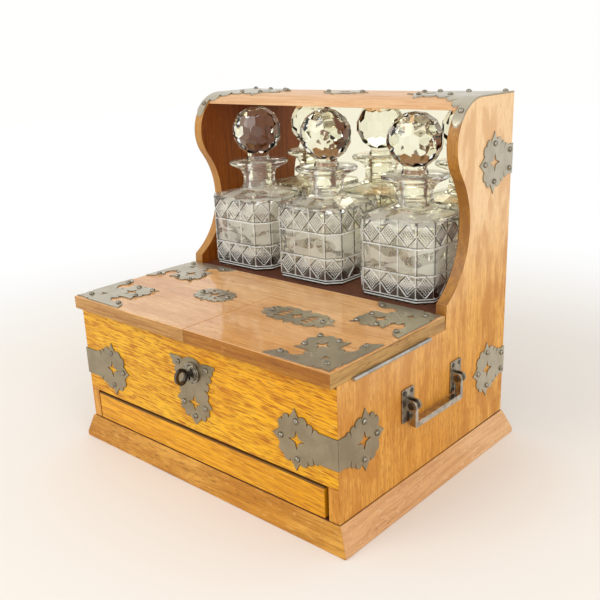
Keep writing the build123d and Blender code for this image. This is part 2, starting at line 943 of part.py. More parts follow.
# Corner mounts on the lids, the same on both sides of the diagonal
lid_mount_half_shares = (
    (0.03, 0.03, 0.0),
    (0.165, 0.05, -0.12),
    (0.265, 0.035, 0.0),
    (0.265, 0.06, 0.0),
    (0.30, 0.02, 0.0),
    (1.0, 0.02, 0.0),
    (0.95, 0.12, -0.08),
    (0.80, 0.21, -0.2),
    (0.745, 0.165, 0.22),
    (0.585, 0.225, 0.0),
    (0.535, 0.235, 0.0),
    (0.59, 0.265, -0.2),
    (0.62, 0.325, 0.0),
    (0.565, 0.335, 0.0),
    (0.65, 0.365, 0.0),
    (0.83, 0.36, 0.0),
    (0.775, 0.45, 0.0),
    (0.80, 0.46, -0.16),
    (0.84, 0.565, 0.0),
    (0.805, 0.575, 0.0),
    (0.845, 0.60, -0.16),
    (0.85, 0.70, 0.0),
    (0.795, 0.715, 0.0),
    (0.85, 0.85, 0.0),
)
lid_star_share = 0.572
chevron_shares = ((0.341, 0.341), (0.313, 0.225), (0.29, 0.29), (0.225, 0.313))
lid_pin_shares = ((0.84, 0.15), (0.77, 0.49), (0.15, 0.84), (0.49, 0.77), (0.785, 0.785), (0.177, 0.177))


def lid_mount(plane):
    half = [(x * lid_mount_size, y * lid_mount_size, bulge) for x, y, bulge in lid_mount_half_shares]
    star_place = lid_star_share * lid_mount_size
    with BuildSketch(plane) as mount:
        with BuildLine():
            cusped_line(half)
            cusped_line([(y, x, -bulge) for x, y, bulge in half])
        make_face()
        with Locations((star_place, star_place)):
            add(star_cutout.sketch, mode=Mode.SUBTRACT)
        with BuildLine():
            Polyline(*[(x * lid_mount_size, y * lid_mount_size) for x, y in chevron_shares], close=True)
        make_face(mode=Mode.SUBTRACT)
    return mount.sketch


lid_pins = {-1: [], 1: []}
for side_word, hand in (("left", -1), ("right", 1)):
    corners = (
        Plane(origin=(hand * half_width, lid_front_y, lid_top), x_dir=(0, 1, 0), z_dir=(0, 0, 1)),
        Plane(origin=(hand * half_width, lid_back_y, lid_top), x_dir=(-hand, 0, 0), z_dir=(0, 0, 1)),
    )
    if hand < 0:
        corners = (
            Plane(origin=(hand * half_width, lid_front_y, lid_top), x_dir=(1, 0, 0), z_dir=(0, 0, 1)),
            Plane(origin=(hand * half_width, lid_back_y, lid_top), x_dir=(0, -1, 0), z_dir=(0, 0, 1)),
        )
    with BuildPart() as lid_mounts:
        for corner_plane in corners:
            extrude(lid_mount(corner_plane), amount=mount_thickness)
    finish(lid_mounts, "lid_mounts_" + side_word)
    for corner_plane in corners:
        for u, v in lid_pin_shares:
            spot = corner_plane.from_local_coords((u * lid_mount_size, v * lid_mount_size, mount_thickness))
            lid_pins[hand].append(Plane(origin=spot, z_dir=(0, 0, 1)))

# Scrolled ornaments on the lids, one quarter of the outline repeated
ornament_quarter_shares = (
    (1.0, 0.0, -0.06),
    (0.82, 0.24, 0.0),
    (0.85, 0.32, 0.25),
    (0.68, 0.58, 0.0),
    (0.64, 0.46, 0.0),
    (0.63, 0.62, 0.22),
    (0.43, 0.78, 0.0),
    (0.41, 0.64, 0.0),
    (0.38, 0.76, 0.2),
    (0.15, 0.74, 0.0),
    (0.15, 0.62, 0.0),
    (0.11, 0.70, -0.05),
    (0.0, 1.0, 0.0),
)
# Leaf-shaped piercings in each quarter: its two tips, and the bulge of both its edges
ornament_leaf_shares = (((0.20, 0.13), (0.53, 0.13), 0.16), ((0.22, 0.30), (0.50, 0.52), 0.13))
ornament_pin_share = 0.69


def ornament(plane, width):
    with BuildSketch(plane) as plate:
        with BuildLine():
            for flip_x, flip_y in ((1, 1), (-1, 1), (-1, -1), (1, -1)):
                quarter = [
                    (flip_x * x * width / 2, flip_y * y * ornament_depth / 2, -flip_x * flip_y * bulge)
                    for x, y, bulge in ornament_quarter_shares
                ]
                cusped_line(quarter)
        make_face()
        add(star_cutout.sketch, mode=Mode.SUBTRACT)
        for flip_x, flip_y in ((1, 1), (-1, 1), (-1, -1), (1, -1)):
            for (from_x, from_y), (to_x, to_y), swell in ornament_leaf_shares:
                start = (flip_x * from_x * width / 2, flip_y * from_y * ornament_depth / 2)
                end = (flip_x * to_x * width / 2, flip_y * to_y * ornament_depth / 2)
                with BuildLine():
                    cusped_line([(*start, swell), (*end, swell), (*start, swell)])
                make_face(mode=Mode.SUBTRACT)
    return plate.sketch


for side_word, hand, x, y, width in (
    ("left", -1, ornament_left_x, ornament_left_y, ornament_left_width),
    ("right", 1, ornament_right_x, ornament_right_y, ornament_right_width),
):
    ornament_plane = Plane(origin=(hand * x, front_y + y, lid_top), z_dir=(0, 0, 1))
    with BuildPart() as badge:
        extrude(ornament(ornament_plane, width), amount=mount_thickness)
    finish(badge, "badge_" + side_word)
    for side in (-1, 1):
        spot = ornament_plane.from_local_coords((side * ornament_pin_share * width / 2, 0, mount_thickness))
        lid_pins[hand].append(Plane(origin=spot, z_dir=(0, 0, 1)))

# Mounts on the canopy: plates bent over the nose and pierced like the rest
nose_span = 75.0  # degrees of the nose that a plate can cover


def bent_sheet(x_from, x_to):
    # sheet that lies on the flat top and follows the nose
    inner = nose_radius + curve_gap
    outer = inner + mount_thickness
    turn = radians(nose_span)
    with BuildSketch(Plane.YZ.offset(x_from)) as sheet:
        with BuildLine():
            CenterArc((nose_y, nose_z), inner, 90, nose_span)
            CenterArc((nose_y, nose_z), outer, 90, nose_span)
            Line(
                (nose_y - inner * sin(turn), nose_z + inner * cos(turn)),
                (nose_y - outer * sin(turn), nose_z + outer * cos(turn)),
            )
            Polyline(
                (nose_y, nose_z + inner),
                (back_y, nose_z + inner),
                (back_y, nose_z + outer),
                (nose_y, nose_z + outer),
            )
        make_face()
    return extrude(sheet.sketch, amount=x_to - x_from, mode=Mode.PRIVATE)


canopy_corner_shares = (
    (0.0, 0.03, 0.35),
    (0.12, 0.03, 0.0),
    (0.106, 0.14, 0.0),
    (0.15, 0.13, 0.28),
    (0.215, 0.205, 0.0),
    (0.19, 0.235, 0.0),
    (0.24, 0.215, 0.28),
    (0.335, 0.285, 0.0),
    (0.32, 0.315, 0.0),
    (0.365, 0.285, 0.22),
    (0.49, 0.325, 0.0),
    (0.49, 0.36, 0.0),
    (0.525, 0.32, 0.15),
    (0.65, 0.315, 0.0),
    (0.722, 0.25, 0.0),
    (0.80, 0.365, -0.12),
    (0.972, 0.495, -0.12),
    (0.81, 0.60, -0.12),
    (0.93, 0.725, -0.12),
    (0.79, 0.862, 0.1),
    (0.41, 0.915, -0.1),
    (0.128, 1.0, 0.0),
    (0.0, 1.0, 0.0),
    (0.0, 0.03, 0.0),
)
canopy_star_shares = (0.70, 0.534)
canopy_pin_shares = (
    (0.393, 0.423),
    (0.744, 0.386),
    (0.889, 0.70),
    (0.759, 0.80),
    (0.448, 0.86),
    (0.08, 0.96),
)
strip_pin_shares = (0.06, 0.086)
canopy_front = back_y - canopy_mount_depth
plate_top = case_height + curve_gap + mount_thickness
for side_word, hand in (("left", -1), ("right", 1)):
    with BuildSketch(Plane.XY) as corner_outline:
        with BuildLine():
            cusped_line(
                [
                    (
                        hand * (half_width - u * canopy_mount_width),
                        canopy_front + w * canopy_mount_depth,
                        hand * bulge,
                    )
                    for u, w, bulge in canopy_corner_shares
                ]
            )
        make_face()
        with Locations(
            (
                hand * (half_width - canopy_star_shares[0] * canopy_mount_width),
                canopy_front + canopy_star_shares[1] * canopy_mount_depth,
            )
        ):
            add(star_cutout.sketch, mode=Mode.SUBTRACT)
    corner_sheet = bent_sheet(hand * (half_width - canopy_mount_width), hand * half_width)
    with BuildPart() as canopy_mount:
        add(corner_sheet)
        extrude(corner_outline.sketch, amount=case_height + overrun, mode=Mode.INTERSECT)
    finish(canopy_mount, "canopy_mount_" + side_word)
    for u, w in canopy_pin_shares:
        spot = (
            hand * (half_width - u * canopy_mount_width),
            canopy_front + w * canopy_mount_depth,
            plate_top,
        )
        pin_places.append(Plane(origin=spot, z_dir=(0, 0, 1)))
    strip_y = canopy_front + strip_pin_shares[1] * canopy_mount_depth
    strip_out = nose_radius + curve_gap + mount_thickness
    strip_lean = asin((nose_y - strip_y) / strip_out)
    strip_normal = (0, -sin(strip_lean), cos(strip_lean))
    strip_spot = (
        hand * (half_width - strip_pin_shares[0] * canopy_mount_width),
        strip_y,
        nose_z + strip_out * cos(strip_lean),
    )
    pin_places.append(Plane(origin=strip_spot, x_dir=(1, 0, 0), z_dir=strip_normal))

canopy_centre_quarter_shares = (
    (1.0, 0.0, -0.12),
    (0.62, 0.36, 0.3),
    (0.30, 0.60, -0.12),
    (0.0, 1.0, 0.0),
)
centre_pin_share = 0.74
centre_y = back_y - canopy_centre_setback
with BuildSketch(Plane.XY) as centre_outline:
    with BuildLine():
        for flip_x, flip_y in ((1, 1), (-1, 1), (-1, -1), (1, -1)):
            cusped_line(
                [
                    (
                        flip_x * x * canopy_centre_half_width,
                        centre_y + flip_y * y * canopy_centre_depth / 2,
                        -flip_x * flip_y * bulge,
                    )
                    for x, y, bulge in canopy_centre_quarter_shares
                ]
            )
    make_face()
    with Locations((0, centre_y)):
        add(star_cutout.sketch, mode=Mode.SUBTRACT)
centre_sheet = bent_sheet(-canopy_centre_half_width, canopy_centre_half_width)
with BuildPart() as canopy_mount_centre:
    add(centre_sheet)
    extrude(centre_outline.sketch, amount=case_height + overrun, mode=Mode.INTERSECT)
finish(canopy_mount_centre, "canopy_mount_centre")
for side in (-1, 1):
    spot = (side * centre_pin_share * canopy_centre_half_width, centre_y, plate_top)
    pin_places.append(Plane(origin=spot, z_dir=(0, 0, 1)))

# Domed pins on every mount
escutcheon_pin_shares = ((0.63, 0.88), (-0.63, 0.88), (0.48, 0.3), (-0.48, 0.3), (0.0, 0.13))
escutcheon_plane = Plane(origin=(0, front_y, escutcheon_bottom), x_dir=(1, 0, 0), z_dir=(0, -1, 0))
pins_on(
    escutcheon_plane,
    [(u * escutcheon_half_width, v * escutcheon_height) for u, v in escutcheon_pin_shares],
)
dome_share = 0.55  # radius of the top of a dome
with BuildPart() as pin_head:
    with BuildSketch(Plane.XZ):
        with BuildLine():
            Polyline(
                (dome_share * pin_radius, pin_height), (0, pin_height), (0, 0), (pin_radius, 0)
            )
            Line((pin_radius, 0), (dome_share * pin_radius, pin_height))
        make_face()
    revolve(axis=Axis.Z)
for pin_group, places in (
    ("case_pins", pin_places),
    ("lid_pins_left", lid_pins[-1]),
    ("lid_pins_right", lid_pins[1]),
):
    with BuildPart() as pins:
        with Locations(*places):
            add(pin_head.part)
    finish(pins, pin_group)

# Carrying handles: two plates with forked lugs on each side, and a bail that hangs between them
cheek_offset = bail_thickness / 2 + bail_gap
pivot_x = half_width + pivot_reach
fork_places = [
    (
        front_y + handle_middle + end * handle_plate_spacing / 2,
        front_y + handle_middle + end * (handle_plate_spacing / 2 - fork_inset),
    )
    for end in (-1, 1)
]
plate_middle_z = handle_plate_bottom + handle_plate_height / 2
with BuildPart() as handle_plates:
    for hand in (-1, 1):
        for plate_y, fork_y in fork_places:
            with BuildSketch(Plane.YZ.offset(hand * half_width)) as plate:
                with Locations((plate_y, plate_middle_z)):
                    RectangleRounded(handle_plate_width, handle_plate_height, handle_plate_thickness)
            extrude(amount=hand * handle_plate_thickness)
            for cheek in (-1, 1):
                cheek_from = fork_y + cheek * cheek_offset
                with BuildSketch(Plane.XZ.offset(-cheek_from)) as lug:
                    with Locations((hand * pivot_x, pivot_height)):
                        Circle(eye_radius)
                    with Locations((hand * (half_width + pivot_x) / 2, pivot_height)):
                        Rectangle(pivot_reach, 2 * eye_radius)
                    with Locations((hand * pivot_x, pivot_height)):
                        Circle(pivot_radius, mode=Mode.SUBTRACT)
                extrude(amount=-cheek * cheek_thickness)
finish(handle_plates, "handle_plates")

pivot_half_length = cheek_offset + cheek_thickness
with BuildPart() as handle_pivot_pins:
    for hand in (-1, 1):
        for plate_y, fork_y in fork_places:
            with BuildSketch(Plane.XZ.offset(-fork_y)):
                with Locations((hand * pivot_x, pivot_height)):
                    Circle(pivot_radius)
            extrude(amount=pivot_half_length, both=True)
            for cheek in (-1, 1):
                with BuildSketch(Plane.XZ.offset(-fork_y - cheek * pivot_half_length)):
                    with Locations((hand * pivot_x, pivot_height)):
                        Circle(pivot_head_radius)
                extrude(amount=-cheek * pivot_head_height)
finish(handle_pivot_pins, "handle_pivot_pins")

screw_faces = []
for hand in (-1, 1):
    for plate_y, fork_y in fork_places:
        screw_faces.append(
            Plane(
                origin=(hand * (half_width + handle_plate_thickness), plate_y, plate_middle_z),
                x_dir=(0, 1, 0),
                z_dir=(hand, 0, 0),
            )
        )
with BuildPart() as case_screws:
    for screw_face in screw_faces:
        with BuildSketch(screw_face):
            with GridLocations(screw_spacing_y, screw_spacing_z, 2, 2):
                Circle(screw_radius)
        extrude(amount=screw_height)
finish(case_screws, "case_screws")

for bail_name, hand in (("bail_left", -1), ("bail_right", 1)):
    arm_y = [fork_y for plate_y, fork_y in fork_places]
    bail_middle = (arm_y[0] + arm_y[1]) / 2
    bail_span = arm_y[1] - arm_y[0] + bail_thickness
    bar_bottom = pivot_height - bail_drop - bail_bar_height / 2
    bail_height = pivot_height - bar_bottom
    with BuildPart() as bail:
        with BuildSketch(Plane.YZ.offset(hand * pivot_x)) as hoop:
            with Locations((bail_middle, bar_bottom + bail_height / 2)):
                Rectangle(bail_span, bail_height)
            fillet(hoop.vertices().group_by(Axis.Y)[0], bail_bar_height / 2)
            with Locations((bail_middle, bar_bottom + bail_bar_height + bail_height / 2)):
                Rectangle(bail_span - 2 * bail_thickness, bail_height, mode=Mode.SUBTRACT)
        extrude(amount=bail_width / 2, both=True)
        for y in arm_y:
            with BuildSketch(Plane.XZ.offset(-y)):
                with Locations((hand * pivot_x, pivot_height)):
                    Circle(bail_width / 2)
            extrude(amount=bail_thickness / 2, both=True)
            with BuildSketch(Plane.XZ.offset(-y)):
                with Locations((hand * pivot_x, pivot_height)):
                    Circle(pivot_radius + pivot_clearance)
            extrude(amount=bail_thickness, both=True, mode=Mode.SUBTRACT)
    finish(bail, bail_name)

# Decanters: canted square bodies on a stepped foot, low shoulder, waisted neck, wide lip, tapered bore.
# The body is cut with rings, upright mitres and two bands of point-to-point diamonds.
half_body = decanter_width / 2
shoulder_top = shoulder_height + shoulder_rise
cant_width = sqrt(2) * decanter_cant
cant_reach = (decanter_width - decanter_cant) / sqrt(2)  # from the axis to the canted faces
cant_narrowing = 2 - sqrt(2)  # of the cut corner, for each millimetre that the outline shrinks


def canted_square(height, inset):
    # level outline of the body, all eight sides moved in alike
    with BuildSketch(Plane.XY.offset(height)) as outline:
        Rectangle(decanter_width - 2 * inset, decanter_width - 2 * inset)
        chamfer(outline.vertices(), decanter_cant - cant_narrowing * inset)
    return outline.sketch


def groove(face, start, end, half_width_here, depth):
    # a straight V cut in a face of the body, from start to end
    across, rise = end[0] - start[0], end[1] - start[1]
    section = Plane(
        origin=face.from_local_coords((start[0], start[1], 0)),
        x_dir=face.z_dir,
        z_dir=face.x_dir * across + face.y_dir * rise,
    )
    rim_half = half_width_here * (1 + cut_rim / depth)
    with BuildSketch(section) as vee:
        with BuildLine():
            Polyline((-depth, 0), (cut_rim, rim_half), (cut_rim, -rim_half), close=True)
        make_face()
    return extrude(vee.sketch, amount=sqrt(across**2 + rise**2), mode=Mode.PRIVATE)


cuts = []
cut_bands = ((lower_band_foot, lower_band_top), (upper_band_foot, upper_band_top))
for quarter in range(4):
    broad_turn, cant_turn = radians(quarter * 90), radians(quarter * 90 + 45)
    for turn, reach, width, columns in (
        (broad_turn, half_body, decanter_width - 2 * decanter_cant, cut_columns),
        (cant_turn, cant_reach, cant_width, 1),
    ):
        outward = Vector(cos(turn), sin(turn), 0)
        face = Plane(origin=outward * reach, x_dir=(-sin(turn), cos(turn), 0), z_dir=outward)
        cell = width / columns
        for column in range(1, columns):
            x = column * cell - width / 2
            cuts.append(groove(face, (x, lower_band_foot), (x, upper_band_top), column_half_width, column_depth))
        for band_foot, band_top in cut_bands:
            band_middle = (band_foot + band_top) / 2
            for column in range(columns):
                left, middle = column * cell - width / 2, (column + 1 / 2) * cell - width / 2
                for high in (band_foot, band_top):
                    for side_x in (left, left + cell):
                        cuts.append(
                            groove(face, (side_x, band_middle), (middle, high), mitre_half_width, mitre_depth)
                        )
    for hand in (-1, 1):
        edge_turn = (broad_turn + cant_turn) / 2 if hand > 0 else broad_turn - (cant_turn - broad_turn) / 2
        edge = Vector(half_body, hand * (half_body - decanter_cant), 0).rotate(Axis.Z, quarter * 90)
        edge_face = Plane(
            origin=edge,
            x_dir=(-sin(edge_turn), cos(edge_turn), 0),
            z_dir=(cos(edge_turn), sin(edge_turn), 0),
        )
        cuts.append(
            groove(edge_face, (0, lower_band_foot), (0, upper_band_top), corner_half_width, corner_depth)
        )

with BuildPart() as decanter:
    step_count = len(foot_steps)
    lower = 0
    for level, height in enumerate(foot_steps):
        extrude(canted_square(lower, (step_count - level) * foot_inset), amount=height - lower)
        lower = height
    body_levels = [(lower, 0)]
    for ring_height in (lower_band_top, upper_band_foot):
        body_levels += [
            (ring_height - ring_half_width, 0),
            (ring_height, ring_depth),
            (ring_height + ring_half_width, 0),
        ]
    body_levels.append((shoulder_height, 0))
    for below, above in zip(body_levels, body_levels[1:]):
        loft(sections=[canted_square(*below), canted_square(*above)], ruled=True)
    with BuildSketch(Plane.XY.offset(shoulder_top)) as shoulder_high:
        Rectangle(2 * neck_seat, 2 * neck_seat)
        chamfer(shoulder_high.vertices(), octagon_share * neck_seat)
    loft(sections=[canted_square(shoulder_height, 0), shoulder_high.sketch], ruled=True)
    add(cuts, mode=Mode.SUBTRACT)
    with BuildSketch(Plane.XZ):
        with BuildLine():
            Polyline((0, lip_top), (0, shoulder_height), (neck_base_radius, shoulder_height))
            Line((neck_base_radius, shoulder_height), (neck_base_radius, shoulder_top))
            TangentArc((neck_radius, neck_waist), (neck_base_radius, shoulder_top), tangent=(0, -1))
            TangentArc((neck_radius, neck_waist), (lip_radius - lip_round, lip_bottom), tangent=(0, 1))
            ThreePointArc(
                (lip_radius - lip_round, lip_bottom),
                (lip_radius, (lip_bottom + lip_top) / 2),
                (lip_radius - lip_round, lip_top),
            )
            Line((lip_radius - lip_round, lip_top), (0, lip_top))
        make_face()
    revolve(axis=Axis.Z)
    # hollow inside: body, sloped roof, and the ground bore of the neck
    cavity_width = decanter_width - 2 * glass_wall
    with BuildSketch(Plane.XY.offset(decanter_floor)) as hollow_low:
        Rectangle(cavity_width, cavity_width)
        chamfer(hollow_low.vertices(), decanter_cant)
    extrude(amount=cavity_roof - decanter_floor, mode=Mode.SUBTRACT)
    with BuildSketch(Plane.XY.offset(cavity_roof)) as roof_low:
        Rectangle(cavity_width, cavity_width)
        chamfer(roof_low.vertices(), decanter_cant)
    with BuildSketch(Plane.XY.offset(shoulder_height)) as roof_high:
        Rectangle(2 * bore_radius, 2 * bore_radius)
        chamfer(roof_high.vertices(), octagon_share * bore_radius)
    loft(ruled=True, mode=Mode.SUBTRACT)
    with BuildSketch(Plane.XZ):
        with BuildLine():
            Polyline(
                (0, lip_top),
                (bore_radius, lip_top),
                (bore_radius - bore_taper, lip_top - ground_length),
                (bore_radius - bore_taper, cavity_roof),
                (0, cavity_roof),
                close=True,
            )
        make_face()
    revolve(axis=Axis.Z, mode=Mode.SUBTRACT)

# Stopper: ground plug, short stem that seats on the lip, and a ball cut in flat facets
plug_length = ground_length - stem_height / 2
ball_height = lip_top + stem_height + ball_radius
with BuildPart() as stopper:
    Sphere(ball_radius)
    for row in range(facet_rows):
        rise = radians(row_step * (row - (facet_rows - 1) / 2))
        for facet in range(facets_round):
            turn = radians((facet + (row % 2) / 2) * 360 / facets_round)
            outward = Vector(cos(rise) * cos(turn), cos(rise) * sin(turn), sin(rise))
            split(
                bisect_by=Plane(origin=outward * (facet_share * ball_radius), z_dir=outward),
                keep=Keep.BOTTOM,
            )
    for pole in (-1, 1):
        split(
            bisect_by=Plane(origin=(0, 0, pole * facet_share * ball_radius), z_dir=(0, 0, pole)),
            keep=Keep.BOTTOM,
        )
    with BuildSketch(Plane.XZ):
        with BuildLine():
            Polyline(
                (0, -ball_radius / 2),
                (stem_radius, -ball_radius / 2),
                (stem_radius, lip_top - ball_height),
                (bore_radius - ground_clearance, lip_top - ball_height),
                (
                    bore_radius - ground_clearance - bore_taper * plug_length / ground_length,
                    lip_top - ball_height - plug_length,
                ),
                (0, lip_top - ball_height - plug_length),
                close=True,
            )
        make_face()
    revolve(axis=Axis.Z)

decanter_y = front_y + upright_depth + decanter_gap_front + half_body
for number, place in enumerate(("left", "middle", "right")):
    x = sum(decanter_row[: number + 1]) + (number + 1 / 2) * decanter_width - inner_x
    stand_place = Location((x, decanter_y, stand_top))
    with BuildPart() as placed_decanter:
        with Locations(stand_place):
            add(decanter.part)
    finish(placed_decanter, "decanter_" + place)
    with BuildPart() as placed_stopper:
        with Locations(Location((x, decanter_y, stand_top + ball_height))):
            add(stopper.part)
    finish(placed_stopper, "stopper_" + place)
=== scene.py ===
import json
import math

import bmesh
import bpy
from mathutils import Matrix, Vector

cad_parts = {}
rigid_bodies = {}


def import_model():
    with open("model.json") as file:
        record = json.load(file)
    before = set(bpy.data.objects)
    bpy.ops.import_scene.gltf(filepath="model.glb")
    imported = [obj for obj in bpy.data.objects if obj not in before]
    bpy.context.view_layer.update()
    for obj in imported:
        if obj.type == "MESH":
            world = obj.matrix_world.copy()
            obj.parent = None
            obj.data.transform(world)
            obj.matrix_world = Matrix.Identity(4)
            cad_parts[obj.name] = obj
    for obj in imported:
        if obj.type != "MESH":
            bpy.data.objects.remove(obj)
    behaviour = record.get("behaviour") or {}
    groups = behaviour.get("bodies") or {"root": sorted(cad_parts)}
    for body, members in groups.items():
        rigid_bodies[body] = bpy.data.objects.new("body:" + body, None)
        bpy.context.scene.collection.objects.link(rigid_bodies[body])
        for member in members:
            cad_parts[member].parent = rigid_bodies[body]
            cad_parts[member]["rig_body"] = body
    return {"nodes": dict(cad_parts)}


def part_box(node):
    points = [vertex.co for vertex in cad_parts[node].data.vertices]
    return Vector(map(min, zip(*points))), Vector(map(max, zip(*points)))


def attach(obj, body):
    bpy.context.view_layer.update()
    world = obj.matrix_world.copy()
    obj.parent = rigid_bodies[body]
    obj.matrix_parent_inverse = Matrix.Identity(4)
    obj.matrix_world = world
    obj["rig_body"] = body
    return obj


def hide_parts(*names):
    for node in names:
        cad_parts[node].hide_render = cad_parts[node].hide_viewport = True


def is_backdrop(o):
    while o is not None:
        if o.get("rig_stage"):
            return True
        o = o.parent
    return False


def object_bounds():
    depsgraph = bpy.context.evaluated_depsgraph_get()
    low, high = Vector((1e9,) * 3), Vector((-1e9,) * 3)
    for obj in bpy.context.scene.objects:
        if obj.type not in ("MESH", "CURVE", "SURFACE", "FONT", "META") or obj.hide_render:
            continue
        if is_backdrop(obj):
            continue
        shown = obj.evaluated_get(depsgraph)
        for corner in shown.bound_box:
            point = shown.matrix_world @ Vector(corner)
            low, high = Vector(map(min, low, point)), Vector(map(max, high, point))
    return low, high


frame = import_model()
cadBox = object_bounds()
cad = frame["nodes"]
bodyOf = {name: piece["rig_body"] for name, piece in cad.items()}
millimetre = 0.001
print("stage: frame loaded,", len(cad), "pieces")


class Wire:
    # a socket that can be added, multiplied and compared; each step adds a node to the same tree
    def __init__(self, tree, socket=None):
        self.tree, self.socket = tree, socket

    def node(self, kind, settings=None, sockets=None, out=0):
        made = self.tree.nodes.new(kind)
        for key, value in (settings or {}).items():
            setattr(made, key, value)
        for key, value in (sockets or {}).items():
            if isinstance(value, Wire):
                self.tree.links.new(value.socket, made.inputs[key])
            else:
                made.inputs[key].default_value = value
        return Wire(self.tree, made.outputs[out])

    def beside(self, out):
        # another output of the node that this one comes from
        return Wire(self.tree, self.socket.node.outputs[out])

    def calc(self, operation, *values):
        return self.node("ShaderNodeMath", {"operation": operation}, dict(enumerate(values)))

    def __add__(self, other):
        return self.calc("ADD", self, other)

    def __sub__(self, other):
        return self.calc("SUBTRACT", self, other)

    def __rsub__(self, other):
        return self.calc("SUBTRACT", other, self)

    def __mul__(self, other):
        return self.calc("MULTIPLY", self, other)

    __radd__, __rmul__ = __add__, __mul__

    def sine(self):
        return self.calc("SINE", self)

    def larger(self, other):
        return self.calc("MAXIMUM", self, other)

    def clamp(self):
        return self.node("ShaderNodeClamp", {}, {"Value": self})

    def band(self, low, high):
        # 0 below low, 1 above high
        return self.node("ShaderNodeMapRange", {"interpolation_type": "SMOOTHSTEP"}, {
            "Value": self, "From Min": low, "From Max": high})

    def mixColour(self, first, second):
        # this value is the share of the second colour
        first, second = (colour if isinstance(colour, Wire) else (*colour, 1) for colour in (first, second))
        return self.node("ShaderNodeMix", {"data_type": "RGBA"}, {0: self, 6: first, 7: second}, 2)

    def mixShader(self, first, second):
        # this value is the share of the second shader
        return self.node("ShaderNodeMixShader", {}, {0: self, 1: first, 2: second})

    def noise(self, scale, detail=2.0, rough=0.5, distortion=0.0):
        return self.node("ShaderNodeTexNoise", {}, {
            "Vector": self, "Scale": scale, "Detail": detail, "Roughness": rough, "Distortion": distortion})

    def map(self, move=(0, 0, 0), turn=(0, 0, 0), scale=(1, 1, 1)):
        return self.node("ShaderNodeMapping", {}, {
            "Vector": self, "Location": move, "Rotation": turn, "Scale": scale})


def startMaterial(name, fixed):
    # a fresh material: its shader, and a Wire with the object's own coordinates
    material = bpy.data.materials.new(name)
    material.use_nodes = True
    shader = material.node_tree.nodes["Principled BSDF"]
    for key, value in fixed.items():
        shader.inputs[key].default_value = value
    place = Wire(material.node_tree).node("ShaderNodeTexCoord", out=3)
    return material, shader, place


def feed(shader, **sockets):
    for key, value in sockets.items():
        value.tree.links.new(value.socket, shader.inputs[key.replace("_", " ")])


def bumped(height, strength, distance):
    return height.node("ShaderNodeBump", {}, {"Height": height, "Strength": strength, "Distance": distance})


grainTurns = {"x": (0, 0, 0), "y": (0, 0, math.radians(-90)), "z": (0, math.radians(90), 0)}

# what an oak has where its own look below doesn't say: scales along and across the grain, the noise levels
# between which a mark fades in, and the share of each mark
oakUsual = {
    "gloss": 0.3, "bump": 0.25, "bumpHeight": 0.0003, "streakHeight": 0.4,
    "poreRough": 0.14, "streakRough": 0.1,
    "fine": 1, "ringScale": (2.2, 11, 11), "rings": 26, "ringDepth": 0.22,
    "streakAlong": 9, "streakAcross": 260, "streakLevels": (0.42, 0.66), "streaks": 0.55,
    "thread": 26, "threadAcross": 760, "threadLevels": (0.46, 0.68), "threads": 0.5,
    "dash": 95, "poreAcross": 1100, "poreLow": 0.60, "poreHigh": 0.70, "clump": 0.65, "pores": 0.7,
    "fleckTurn": (0, 0, 0.25), "fleckScale": (130, 420, 420), "fleckLevels": (0.62, 0.72), "flecks": 0.25,
    "patchScale": 7.0, "patchLevels": (0.35, 0.68),
    "stainStretch": (0.5, 1.6, 1.6), "stainScale": 34, "stainLevels": (0.44, 0.6), "stain": 0.1,
    "fadeShare": 0.8, "fadeWander": 0.05, "fadedPores": 0.35, "fadedStain": 0.6,
    # dark bands along joints: soiling, with painted contact shade where parts meet or overhang
    "grime": (), "grimeAndShadeShare": 0.85, "grimeAndShadeWander": 0.0008, "grimeAndShadeColour": (0.07, 0.03, 0.012),
}


